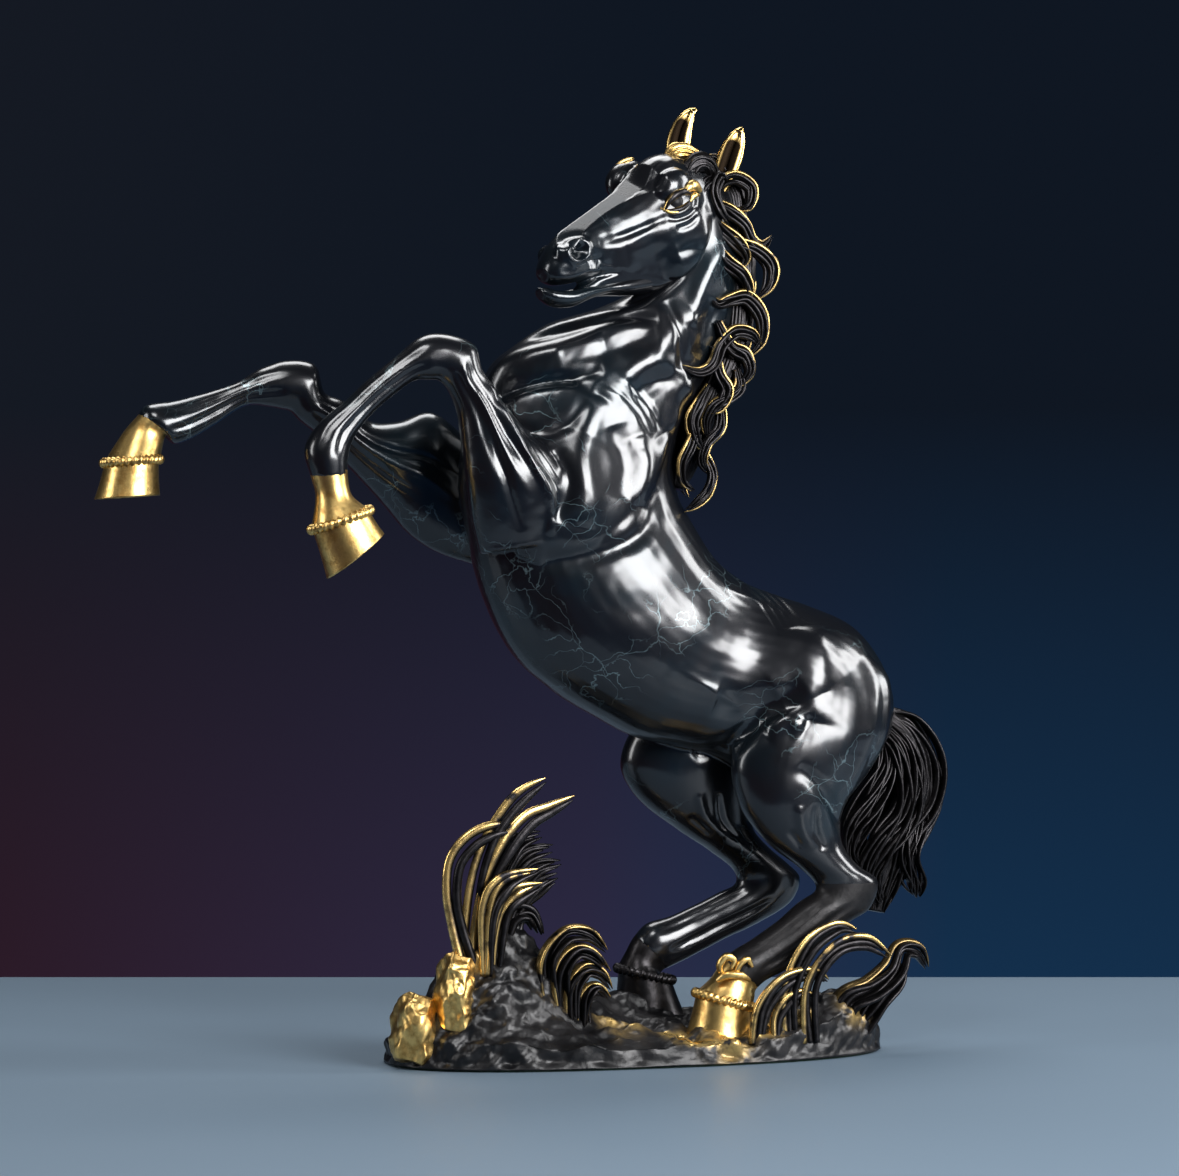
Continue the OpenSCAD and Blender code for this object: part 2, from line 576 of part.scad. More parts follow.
module tail_dowel(d, length)
    translate(TAIL_ROOT) rotate([0, TAIL_ROOT_TILT, 0]) pin(d, length);

NECK_PIN_ANGLES = [45, 145, 215, 315];

module neck_pins(d, length) {
    r = SPINE[NECK_RING];
    half = norm([r[0] - r[2], r[1] - r[3]]) / 2 - wall / 2;
    for (a = NECK_PIN_ANGLES)
        across_ring(r) translate([-half * cos(a), (r[4] - wall / 2) * sin(a), 0]) pin(d, length);
}

HOLE_D = dowel_d + 2 * bore_gap;
HOLE_LEN = dowel_len + 2 * bore_gap;

// The hooves' studs stand on the middles of the hind hooves' soles
function sole_middle(i) = ring_middle(LEGS[i][len(LEGS[i]) - 1]);
STUDS = [sole_middle(2), sole_middle(3)];
NUT_ROOM = 0.6;
SEAT_Z = PLATE_Z + NUT_ROOM + nut_t + washer_t;
STUD_FOOT = PLATE_Z + NUT_ROOM / 2;

module at_studs()
    for (s = STUDS) translate([s[0], s[1], 0]) children();

module studs(d, extra)
    for (s = STUDS)
        let (top = RIM_Z + rock_height(s[0], s[1]) + stud_grip + extra)
            translate([s[0], s[1], STUD_FOOT]) cylinder(d = d, h = top - STUD_FOOT, $fn = ROUND);

// The cover's screws, as shares of the base's length and depth from its middle
SCREW_AT = [0.36, 0.24];
SCREWS = [for (x = [-1, 1]) for (y = [-1, 1])
    [BASE_X + x * base_l * SCREW_AT[0], y * base_w * SCREW_AT[1]]];
SCREW_HEAD_T = (screw_head_d - screw_d) / 2;

// A countersunk screw, or with a gap the hole that it goes in
module screw(gap)
    translate([0, 0, RIM_Z]) {
        cylinder(d1 = screw_head_d + 2 * gap, d2 = screw_d + 2 * gap, h = SCREW_HEAD_T, $fn = ROUND);
        cylinder(d = screw_d + 2 * gap, h = screw_len + gap, $fn = ROUND);
    }

module at_screws()
    for (s = SCREWS) translate([s[0], s[1], 0]) children();

// ---------- Castings of the horse ----------

module trunk_cavity() {
    rows = shrunk(slice(SPINE, STEPS + 1, NECK_RING), wall);
    loft(concat(rows, [moved(rows[len(rows) - 1], 1)]), 20);
}

module trunk()
    color(PATINA) difference() {
        one_casting() difference() {
            trunk_outside();
            trunk_cavity();
        }
        neck_pins(pin_d + 2 * bore_gap, pin_len + 2 * bore_gap);
        for (i = [0:3]) root_dowel(i, HOLE_D, HOLE_LEN);
        tail_dowel(HOLE_D, HOLE_LEN);
    }

module neck()
    color(PATINA) difference() {
        rows = shrunk(slice(SPINE, NECK_RING, len(SPINE) - 2 * STEPS), wall);
        one_casting() difference() {
            neck_outside();
            trunk_outside();
            loft(concat([moved(rows[0], -1)], rows), 20);
        }
        neck_pins(pin_d + 2 * bore_gap, pin_len + 2 * bore_gap);
    }

module head()
    color(PATINA) one_casting() difference() {
        skull_outside();
        neck_outside();
    }

module lower_jaw()
    color(PATINA) one_casting() difference() {
        in_head_frame() loft(fine_rows(widened(JAW, HEAD_K), 2), 14);
        skull_outside();
        neck_outside();
    }

module left_ear()
    color(GILT) one_casting() difference() {
        strand(from_poll(EAR_LEFT), 10);
        skull_outside();
        neck_outside();
    }

module right_ear()
    color(GILT) one_casting() difference() {
        strand(from_poll(EAR_RIGHT), 10);
        skull_outside();
        neck_outside();
    }

module head_and_ears() {
    skull_outside();
    neck_outside();
    strand(from_poll(EAR_LEFT), 10);
    strand(from_poll(EAR_RIGHT), 10);
}

module forelock()
    color(DARK_BRONZE) one_casting() difference() {
        strand(from_poll(FORELOCK), 10);
        head_and_ears();
    }

module poll_tuft()
    color(GILT) one_casting() difference() {
        strand(from_poll(POLL_TUFT), 10);
        head_and_ears();
        strand(from_poll(FORELOCK), 10);
    }

module mane()
    color(DARK_BRONZE) one_casting() difference() {
        union() {
            strand(MANE, 14);
            for (lock = MANE_LOCKS) strand(lock, 6);
        }
        head_and_ears();
        strand(from_poll(FORELOCK), 10);
        trunk_outside();
    }

// One casting of a limb, between two of its section rows
module limb_casting(i, from, to)
    loft(slice(LEGS[i], LEG_STEPS * from, LEG_STEPS * to), 14);

// The casting next to the trunk, fitted to the trunk's side
module limb_root(i, to)
    color(PATINA) difference() {
        one_casting() difference() {
            limb_casting(i, 0, to);
            torso_outside();
        }
        limb_dowels(i, HOLE_D, HOLE_LEN);
        root_dowel(i, HOLE_D, HOLE_LEN);
    }

module cannon(i, split)
    color(PATINA) difference() {
        limb_casting(i, split[0], split[1]);
        limb_dowels(i, HOLE_D, HOLE_LEN);
    }

module fore_hoof(i)
    color(GILT) difference() {
        limb_casting(i, FORE_SPLIT[1], LEG_ROWS);
        limb_dowels(i, HOLE_D, HOLE_LEN);
    }

// A hoof that stands on the rock and is fitted to it
module hind_hoof(i)
    color(GILT) difference() {
        one_casting() difference() {
            limb_casting(i, HIND_SPLIT[1], LEG_ROWS);
            rock_outside();
        }
        limb_dowels(i, HOLE_D, HOLE_LEN);
        studs(stud_d + 2 * bore_gap, bore_gap);
    }

module left_forearm() limb_root(0, FORE_SPLIT[0]);
module left_fore_cannon() cannon(0, FORE_SPLIT);
module left_fore_hoof() fore_hoof(0);
module right_forearm() limb_root(1, FORE_SPLIT[0]);
module right_fore_cannon() cannon(1, FORE_SPLIT);
module right_fore_hoof() fore_hoof(1);
module left_thigh() limb_root(2, HIND_SPLIT[0]);
module left_hind_cannon() cannon(2, HIND_SPLIT);
module left_hind_hoof() hind_hoof(2);
module right_thigh() limb_root(3, HIND_SPLIT[0]);
module right_hind_cannon() cannon(3, HIND_SPLIT);
module right_hind_hoof() hind_hoof(3);

module tail()
    color(DARK_BRONZE) difference() {
        one_casting() difference() {
            for (s = TAIL) strand(s, 10);
            trunk_outside();
            for (i = [2, 3]) limb_casting(i, 0, HIND_SPLIT[1]);
        }
        tail_dowel(HOLE_D, HOLE_LEN);
    }

// ---------- The base and its plants ----------

module base_cavity()
    difference() {
        rock_body(base_wall, 0, 44, [1, 0.985, 0.94, 0.86, 0.76, 0.64, 0.5, 0.36, 0.22, 0.1], 0);
        at_studs() translate([0, 0, SEAT_Z]) cylinder(d = washer_d + 2, h = 2 * base_w, $fn = 20);
        at_screws() translate([0, 0, PLATE_Z]) cylinder(d = boss_d, h = 2 * base_w, $fn = 20);
    }

module base_rock()
    color(ROCK) difference() {
        one_casting() difference() {
            rock_outside();
            base_cavity();
        }
        studs(stud_d + 2 * bore_gap, bore_gap);
        at_screws() screw(bore_gap);
    }

module gilded_rocks_outside()
    for (s = GILDED_ROCKS) strand(s, 9);

// The boulders, cut off level with the rim
module gilded_rocks()
    color(GILT) one_casting() difference() {
        gilded_rocks_outside();
        rock_outside();
        translate([0, 0, RIM_Z - base_w]) cube([2 * base_l, 2 * base_w, 2 * base_w], center = true);
    }

module plant(strands)
    one_casting() difference() {
        for (s = strands) strand(s, 6);
        rock_outside();
        gilded_rocks_outside();
    }

module tall_reeds() color(GILT) plant(TALL_REEDS);
module reed_fan() color(DARK_BRONZE) plant(REED_FAN);
module gilded_leaves() color(GILT) plant(GILDED_LEAVES);
module curl_tuft() color(DARK_BRONZE) plant(CURL_TUFT);
module rear_leaves() color(GILT) plant(REAR_LEAVES);
module rear_curl() color(DARK_BRONZE) plant(REAR_CURL);

// ---------- Fastenings, cover and felt ----------

module dowels()
    color(STEEL) {
        for (i = [0:3]) {
            limb_dowels(i, dowel_d, dowel_len);
            root_dowel(i, dowel_d, dowel_len);
        }
        tail_dowel(dowel_d, dowel_len);
    }

module pins()
    color(STEEL) neck_pins(pin_d, pin_len);

module hoof_studs()
    color(STEEL) studs(stud_d, 0);

module stud_nuts()
    color(STEEL) difference() {
        at_studs() translate([0, 0, SEAT_Z - washer_t - nut_t])
            cylinder(d = nut_w / cos(30), h = nut_t, $fn = 6);
        studs(stud_d + 2 * bore_gap, 0);
    }

module stud_washers()
    color(STEEL) difference() {
        at_studs() translate([0, 0, SEAT_Z - washer_t]) cylinder(d = washer_d, h = washer_t, $fn = ROUND);
        studs(stud_d + 2 * bore_gap, 0);
    }

module cover_plate()
    color(STEEL) difference() {
        translate([0, 0, RIM_Z]) plan_sheet(base_wall + cover_gap, cover_t);
        at_screws() screw(bore_gap);
    }

module cover_screws()
    color(STEEL) at_screws() screw(0);

module felt_sheet()
    color(FELT) plan_sheet(felt_inset, felt_t);

trunk();
neck();
head();
lower_jaw();
left_ear();
right_ear();
poll_tuft();
forelock();
mane();
left_forearm();
left_fore_cannon();
left_fore_hoof();
right_forearm();
right_fore_cannon();
right_fore_hoof();
left_thigh();
left_hind_cannon();
left_hind_hoof();
right_thigh();
right_hind_cannon();
right_hind_hoof();
tail();
base_rock();
gilded_rocks();
tall_reeds();
reed_fan();
gilded_leaves();
curl_tuft();
rear_leaves();
rear_curl();
dowels();
pins();
hoof_studs();
stud_nuts();
stud_washers();
cover_plate();
cover_screws();
felt_sheet();
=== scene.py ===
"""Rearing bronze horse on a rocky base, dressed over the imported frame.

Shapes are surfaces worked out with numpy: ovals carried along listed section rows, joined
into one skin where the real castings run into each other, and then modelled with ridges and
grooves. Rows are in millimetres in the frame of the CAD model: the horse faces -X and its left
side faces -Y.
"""

from __future__ import annotations

import logging
from dataclasses import dataclass, field
from enum import Enum

import bpy
import numpy as np
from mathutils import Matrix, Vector

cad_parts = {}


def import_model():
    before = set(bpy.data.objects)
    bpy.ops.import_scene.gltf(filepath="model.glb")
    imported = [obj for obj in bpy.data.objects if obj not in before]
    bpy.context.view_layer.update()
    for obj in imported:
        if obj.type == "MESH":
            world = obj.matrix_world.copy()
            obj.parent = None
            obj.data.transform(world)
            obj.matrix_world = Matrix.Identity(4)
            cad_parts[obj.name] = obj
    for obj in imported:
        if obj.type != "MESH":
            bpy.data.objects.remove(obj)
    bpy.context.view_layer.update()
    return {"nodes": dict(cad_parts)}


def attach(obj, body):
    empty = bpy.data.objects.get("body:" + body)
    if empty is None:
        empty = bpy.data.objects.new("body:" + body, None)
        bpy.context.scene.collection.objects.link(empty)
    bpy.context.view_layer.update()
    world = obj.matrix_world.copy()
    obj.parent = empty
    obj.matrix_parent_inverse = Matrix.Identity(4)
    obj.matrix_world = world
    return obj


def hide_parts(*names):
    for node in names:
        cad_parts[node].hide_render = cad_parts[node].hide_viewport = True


LOG = logging.getLogger("horse")
MM = 0.001
Rows = list[list[float]]
Line = tuple[tuple[float, float], ...]


class Side(Enum):
    """The side of the horse that a feature lies on, as the sign of y."""

    LEFT = -1
    RIGHT = 1
    BOTH = 0


# ---------- Section rows ----------
# A row is [front x, front z, back x, back z, half width, middle y].

TRUNK: Rows = [
    [139, 138, 144, 156, 9, 0], [122, 121, 142, 166, 24, 0], [100, 114, 136, 180, 30, 0],
    [80, 122, 124, 194, 33, 0], [62, 134, 106, 202, 33.5, 0], [42, 139, 88, 208, 31, 0],
    [20, 144, 72, 214, 31, 0], [0, 154, 59, 224, 33, 0], [-19, 166, 49, 238, 34, 0],
    [-37, 183, 41, 252, 33, 0], [-49, 207, 38, 266, 32, 0], [-57, 236, 40, 279, 31, 0],
    [-60, 264, 46, 292, 29.5, 0]]
NECK: Rows = [
    [-55, 290, 54, 305, 27, 0], [-43, 312, 62, 318, 24, 0], [-22, 328, 68, 331, 21, 0],
    [4, 337, 71, 344, 18.5, 0], [20, 345, 71, 357, 16.5, -1], [29, 354, 69, 370, 15, -2],
    [33, 364, 65, 382, 14, -3], [36, 374, 60, 393, 12.5, -4]]
SHOULDER: Rows = [
    [-40, 226, -14, 214, 3, -24], [-46, 246, 4, 226, 9, -25], [-42, 268, 18, 246, 10, -24],
    [-28, 286, 26, 262, 9, -21], [-8, 297, 32, 278, 5, -18]]
LEFT_FORE: Rows = [
    [-56, 226, 2, 236, 9, -22], [-61, 242, -8, 256, 11.5, -25], [-64, 257, -22, 268, 12.5, -27],
    [-66, 272, -37, 281, 11.5, -27.5], [-68, 287, -48, 294, 10, -27.5],
    [-72, 297, -57, 306, 9, -27.5], [-75, 301, -60, 317, 9.5, -27.5],
    [-77, 302, -71, 322, 9, -27.5], [-80, 302, -84, 321, 8.5, -27.5],
    [-88, 301, -95, 312, 7, -27.5], [-101, 292, -108, 301, 6, -27.5],
    [-110, 283, -119, 291, 6, -27.5], [-115, 275, -130, 282, 7, -27.5],
    [-117, 266, -136, 271, 8.5, -27.5], [-117, 259, -133, 259, 7.5, -27.5],
    [-115, 251, -131, 250, 7.5, -27.5], [-107, 245, -133, 236, 11, -27.5],
    [-101, 235, -126, 215, 12.5, -27.5]]
RIGHT_FORE: Rows = [
    [-40, 220, -18, 262, 9, 22], [-62, 226, -46, 276, 12, 25], [-77, 235, -66, 290, 13, 26],
    [-90, 250, -82, 286, 12.5, 27], [-104, 265, -95, 286, 11, 27.5],
    [-118, 279, -107, 295, 9.5, 27.5], [-127, 286, -116, 299, 9, 27.5],
    [-131, 290, -120, 311, 9.5, 27.5], [-135, 291, -133, 313, 9, 27.5],
    [-141, 292, -145, 309, 8, 27.5], [-152, 292, -155, 303, 6.5, 27.5],
    [-165, 284, -169, 298, 6.3, 27.5], [-177, 277, -183, 294, 7.2, 27.5],
    [-184, 275, -196, 292, 8.5, 27.5], [-186, 279, -200, 287, 7.5, 27.5],
    [-188, 277, -206, 280, 7.5, 27.5], [-190, 268, -215, 266, 12, 27.5],
    [-190, 252, -219, 250, 13.5, 27.5]]
LEFT_HIND: Rows = [
    [82, 176, 122, 184, 6, -18], [70, 160, 136, 170, 14, -19], [62, 143, 136, 147, 18, -20],
    [60, 128, 126, 128, 17, -21], [64, 114, 114, 114, 15, -22], [71, 103, 111, 102, 12.5, -22.5],
    [80, 94, 113, 93, 10.5, -23], [91, 86, 120, 85, 9.5, -23], [99, 79, 129, 78, 9, -23],
    [100, 74, 125, 66, 9, -23], [92, 69, 114, 59, 9.5, -23], [80, 60, 101, 48, 9, -23],
    [69, 53, 87, 40, 8.5, -23], [60, 48, 76, 35, 9, -23], [55, 43, 71, 31, 8.5, -23],
    [50, 36, 70, 27, 9.5, -23], [43, 30, 69, 23, 12, -23], [39, 12, 68, 8, 13.5, -23]]
RIGHT_HIND: Rows = [
    [56, 182, 108, 190, 6, 18], [40, 162, 112, 174, 15, 19], [26, 146, 108, 152, 17, 20],
    [21, 131, 96, 132, 17, 21], [26, 119, 86, 116, 15.5, 22], [36, 109, 84, 102, 13, 22.5],
    [49, 100, 91, 92, 11.5, 23], [64, 90, 101, 84, 10, 23], [76, 81, 108, 76, 9, 23],
    [77, 74, 103, 65, 8.5, 23], [68, 70, 87, 56, 7.5, 23], [57, 65, 71, 49, 7, 23],
    [45, 60, 58, 43, 7, 23], [34, 57, 47, 38, 8.5, 23], [28, 51, 42, 36, 8, 23],
    [24, 44, 40, 33, 8.5, 23], [20, 37, 46, 31, 11.5, 23], [19, 18, 52, 15, 13.5, 23]]

# A limb's black skin ends at this row, where the pastern and hoof begin.
PASTERN_ROW = 15

# The head's rows are [distance from the poll, top, distance, underside, half width, shift] in the
# head's own frame, where forward is -x.
POLL = np.array([56.0, 0.0, 388.0])
HEAD_DIP = 27.0
HEAD_TURN = 17.0
SKULL: Rows = [
    [8, 8, 8, -16, 11, 0], [0, 19, 0, -25, 13, 0], [-10, 26.5, -10, -29, 15.5, 0],
    [-20, 29.5, -20, -30, 18, 0], [-29, 28.5, -29, -29, 17.5, 0], [-38, 25.5, -38, -28, 15.5, 0],
    [-48, 23.3, -48, -26, 13, 0], [-58, 22.2, -58, -20, 11, 0], [-68, 21, -68, -10, 10, 0],
    [-78, 19.6, -78, -5.5, 10.5, 0], [-87, 16, -87, -3.5, 10.5, 0], [-94, 11.5, -94, -1, 8, 0],
    [-97, 8.5, -97, 2, 5, 0]]
JAW: Rows = [
    [-46, -14, -46, -26, 7, 0], [-60, -12, -60, -21, 8, 0], [-70, -10.5, -70, -16, 7.5, 0],
    [-80, -8, -80, -13, 7.5, 0], [-90, -5, -90, -12, 7.5, 0], [-97, -1, -97, -8.5, 6, 0],
    [-100, 0.5, -100, -4, 3.5, 0]]
# The lower lip is a little fuller than the jaw's own rows.
LIP: Rows = JAW[:3] + [
    [-80, -7, -80, -14, 7.8, 0], [-90, -4, -90, -13.2, 7.8, 0], [-98, 0, -98, -9.5, 6.4, 0],
    [-102, 1.6, -102, -4.4, 3.8, 0]]
# The cheek fills the back of the mouth between skull and jaw.
CHEEK: Rows = [
    [-40, -8, -40, -27, 9.5, 0], [-52, -5, -52, -24, 8.6, 0], [-62, -3, -62, -20.5, 7.6, 0],
    [-70, -4, -70, -17, 6.6, 0], [-78, -5, -78, -14, 5.6, 0], [-84, -6.5, -84, -12.5, 3.5, 0]]


# ---------- Surfaces ----------


def curve(rows: Rows | np.ndarray, steps: int) -> np.ndarray:
    """A smooth curve through rows of numbers.

    Between the rows b and c, with a before and d after, the point at t is
    (2b + (c - a)t + (2a - 5b + 4c - d)t^2 + (3b - a - 3c + d)t^3) / 2.

    Args:
        rows: The rows that the curve goes through.
        steps: The number of points from each row to the next.

    Returns:
        The points, one row each.
    """
    r = np.asarray(rows, float)
    p = np.vstack([r[:1], r, r[-1:]])
    a, b, c, d = (p[i:len(p) - 3 + i, None, :] for i in range(4))
    t = (np.arange(steps) / steps)[None, :, None]
    out = (2 * b + (c - a) * t + (2 * a - 5 * b + 4 * c - d) * t ** 2 + (3 * b - a - 3 * c + d) * t ** 3) / 2
    return np.vstack([out.reshape(-1, r.shape[1]), r[-1:]])


def oval_rings(rows: np.ndarray, around: int) -> np.ndarray:
    """The oval rings of section rows: middle + half axis * cos + half width * sin.

    Args:
        rows: Section rows [front x, front z, back x, back z, half width, y].
        around: The number of points in a ring.

    Returns:
        An array of rings by points by 3.
    """
    a = np.linspace(0, 2 * np.pi, around, endpoint=False)
    c, s = np.cos(a), np.sin(a)
    x = (rows[:, :1] + rows[:, 2:3]) / 2 + (rows[:, :1] - rows[:, 2:3]) / 2 * c
    y = rows[:, 5:6] + rows[:, 4:5] * s
    z = (rows[:, 1:2] + rows[:, 3:4]) / 2 + (rows[:, 1:2] - rows[:, 3:4]) / 2 * c
    return np.stack([x, y, z], -1)


def unit(v: np.ndarray) -> np.ndarray:
    """The vectors brought to length 1."""
    return v / np.maximum(np.linalg.norm(v, axis=-1, keepdims=True), 1e-12)


@dataclass
class Shell:
    """A surface as points and faces of four or three corners."""

    points: np.ndarray
    quads: np.ndarray
    tris: np.ndarray = field(default_factory=lambda: np.zeros((0, 3), int))
    marks: dict[str, np.ndarray] = field(default_factory=dict)

    @staticmethod
    def tube(rings: np.ndarray) -> "Shell":
        """A closed skin over rings of equal length, each end closed by a fan to its middle."""
        m, n, _ = rings.shape
        i, k = np.meshgrid(np.arange(m - 1), np.arange(n), indexing="ij")
        a, b = i * n + k, i * n + (k + 1) % n
        quads = np.stack([a, b, b + n, a + n], -1).reshape(-1, 4)
        points = np.vstack([rings.reshape(-1, 3), rings[0].mean(0), rings[-1].mean(0)])
        k = np.arange(n)
        first = np.stack([k, np.full(n, m * n), (k + 1) % n], -1)
        last = np.stack([(m - 1) * n + k, (m - 1) * n + (k + 1) % n, np.full(n, m * n + 1)], -1)
        shell = Shell(points, quads, np.vstack([first, last]))
        return shell.flipped() if shell.volume() < 0 else shell

    @staticmethod
    def joined(shells: list["Shell"]) -> "Shell":
        """Several shells as one list of points and faces, with their marks."""
        starts = np.cumsum([0] + [len(s.points) for s in shells[:-1]])
        names = set().union(*(s.marks for s in shells))
        return Shell(
            np.vstack([s.points for s in shells]),
            np.vstack([s.quads + k for s, k in zip(shells, starts)]),
            np.vstack([s.tris + k for s, k in zip(shells, starts)]),
            {n: np.concatenate([s.marks.get(n, np.zeros(len(s.points))) for s in shells]) for n in names})

    def volume(self) -> float:
        """The volume inside, negative where the faces point inwards."""
        p = self.points
        t = np.vstack([self.quads[:, [0, 1, 2]], self.quads[:, [0, 2, 3]], self.tris])
        return float(np.einsum("ij,ij->i", p[t[:, 0]], np.cross(p[t[:, 1]], p[t[:, 2]])).sum() / 6)

    def flipped(self) -> "Shell":
        """The same shell with its faces turned round."""
        return Shell(self.points, self.quads[:, ::-1], self.tris[:, ::-1], self.marks)

    def normals(self) -> np.ndarray:
        """The points' normals, as sums of the normals of the faces round them."""
        p, total = self.points, np.zeros_like(self.points)
        for faces in (self.quads, self.tris):
            if len(faces):
                last = faces.shape[1] - 1
                n = np.cross(p[faces[:, 2]] - p[faces[:, 0]], p[faces[:, last]] - p[faces[:, 1]])
                if last == 2:
                    n = np.cross(p[faces[:, 1]] - p[faces[:, 0]], p[faces[:, 2]] - p[faces[:, 0]])
                for k in range(faces.shape[1]):
                    for axis in range(3):
                        total[:, axis] += np.bincount(faces[:, k], n[:, axis], len(p))
        return unit(total)

    def smoothed(self, passes: int, pull: float = 0.5, push: float = -0.53) -> "Shell":
        """The shell with each point drawn to the mean of its neighbours and let out again.

        Args:
            passes: The number of times that both steps are made.
            pull: The share of the way to the mean in the first step.
            push: The share in the second step, negative to keep the volume.

        Returns:
            The smoothed shell.
        """
        a = np.concatenate([self.quads.ravel(), self.tris.ravel()])
        b = np.concatenate([np.roll(self.quads, -1, 1).ravel(), np.roll(self.tris, -1, 1).ravel()])
        p = self.points.copy()
        count = np.maximum(np.bincount(a, minlength=len(p)), 1)[:, None]
        for _ in range(passes):
            for share in (pull, push):
                mean = np.stack([np.bincount(a, p[b, i], len(p)) for i in range(3)], 1) / count
                p = p + share * (mean - p)
        return Shell(p, self.quads, self.tris, self.marks)

    def mesh(self, name: str) -> bpy.types.Mesh:
        """A Blender mesh of the shell, in metres, with its marks as attributes."""
        mesh = bpy.data.meshes.new(name)
        mesh.from_pydata((self.points * MM).tolist(), [], self.quads.tolist() + self.tris.tolist())
        for mark, values in self.marks.items():
            mesh.attributes.new(mark, "FLOAT", "POINT").data.foreach_set("value", values.astype(np.float32))
        mesh.polygons.foreach_set("use_smooth", np.ones(len(mesh.polygons), bool))
        mesh.update()
        return mesh


def fused(shells: list[Shell], grain: float) -> Shell:
    """One closed skin round several overlapping shells.

    Args:
        shells: Closed shells that overlap.
        grain: The size of the skin's faces in millimetres.

    Returns:
        The skin, as quads.
    """
    rough = bpy.data.objects.new("rough", Shell.joined(shells).mesh("rough"))
    bpy.context.scene.collection.objects.link(rough)
    remesh = rough.modifiers.new("Skin", "REMESH")
    remesh.mode = "VOXEL"
    remesh.voxel_size = grain * MM
    graph = bpy.context.evaluated_depsgraph_get()
    mesh = bpy.data.meshes.new_from_object(rough.evaluated_get(graph))
    points = np.empty(len(mesh.vertices) * 3)
    mesh.vertices.foreach_get("co", points)
    corners = np.empty(len(mesh.loops), int)
    mesh.loops.foreach_get("vertex_index", corners)
    bpy.data.objects.remove(rough)
    bpy.data.meshes.remove(mesh)
    shell = Shell(points.reshape(-1, 3) / MM, corners.reshape(-1, 4))
    return shell.flipped() if shell.volume() < 0 else shell


def noise(points: np.ndarray, scale: float, seed: int = 0) -> np.ndarray:
    """Smooth noise from -1 to 1: random values at the corners of a cubic lattice, eased between.

    Args:
        points: Points by 3, in millimetres.
        scale: The lattice's spacing in millimetres.
        seed: The choice of pattern.

    Returns:
        One value a point.
    """
    q = points / scale + seed * 17.31
    low = np.floor(q).astype(int)
    f = q - low
    f = f * f * (3 - 2 * f)
    total = np.zeros(len(q))
    for corner in range(8):
        d = np.array([corner & 1, corner >> 1 & 1, corner >> 2 & 1])
        c = low + d
        h = np.sin(c[:, 0] * 127.1 + c[:, 1] * 311.7 + c[:, 2] * 74.7 + seed * 9.7) * 43758.5453
        weight = np.prod(np.where(d, f, 1 - f), axis=1)
        total += weight * (h - np.floor(h))
    return total * 2 - 1


@dataclass(frozen=True)
class Ridge:
    """A rounded ridge along a line in side view, or a groove where its height is negative."""

    line: Line
    breadth: float
    height: float
    side: Side = Side.BOTH
    tapered: bool = True


def carved(shell: Shell, ridges: list[Ridge], flat: np.ndarray, across: np.ndarray,
           steps: int = 6) -> Shell:
    """The shell with ridges and grooves on its sides.

    A point moves along its normal by height * exp(-(distance / breadth)^2), which fades towards
    the line's ends and where the surface turns away from the side.

    Args:
        shell: The shell to model.
        ridges: The ridges and grooves.
        flat: The points' places in side view, points by 2.
        across: The points' distances to the horse's right of the mid plane.
        steps: The number of points on the curve from one point of a line to the next.

    Returns:
        The modelled shell.
    """
    normals = shell.normals()
    move = np.zeros(len(shell.points))
    for ridge in ridges:
        line = curve([list(p) for p in ridge.line], steps)
        reach = 2.6 * ridge.breadth
        near = np.all((flat > line.min(0) - reach) & (flat < line.max(0) + reach), axis=1)
        if ridge.side is not Side.BOTH:
            near &= across * ridge.side.value > 0
        index = np.flatnonzero(near)
        if not len(index):
            continue
        p = flat[index, None, :]
        a, step = line[None, :-1], np.diff(line, axis=0)[None]
        t = np.clip(((p - a) * step).sum(-1) / np.maximum((step ** 2).sum(-1), 1e-9), 0, 1)
        gap = np.linalg.norm(p - a - t[..., None] * step, axis=-1)
        best = gap.argmin(1)
        row = np.arange(len(index))
        way = (best + t[row, best]) / (len(line) - 1)
        fade = 1 - np.abs(2 * way - 1) ** 3 if ridge.tapered else 1.0
        facing = np.clip(np.abs(normals[index, 1]) * 2.2, 0, 1)
        move[index] += ridge.height * np.exp(-(gap[row, best] / ridge.breadth) ** 2) * fade * facing
    return Shell(shell.points + normals * move[:, None], shell.quads, shell.tris, shell.marks)


def along_limb(rows: Rows, first: int, last: int, share: float) -> Line:
    """A line down a limb.

    Args:
        rows: The limb's section rows.
        first: The first row.
        last: The last row.
        share: The line's place as a share of the way from the sections' front to their back.

    Returns:
        The line in side view.
    """
    part = np.asarray(rows[first:last + 1], float)
    x = part[:, 0] + (part[:, 2] - part[:, 0]) * share
    z = part[:, 1] + (part[:, 3] - part[:, 1]) * share
    return tuple(zip(x.tolist(), z.tolist()))


def shifted(line: Line, dx: float, dz: float) -> Line:
    """The line moved in side view."""
    return tuple((x + dx, z + dz) for x, z in line)


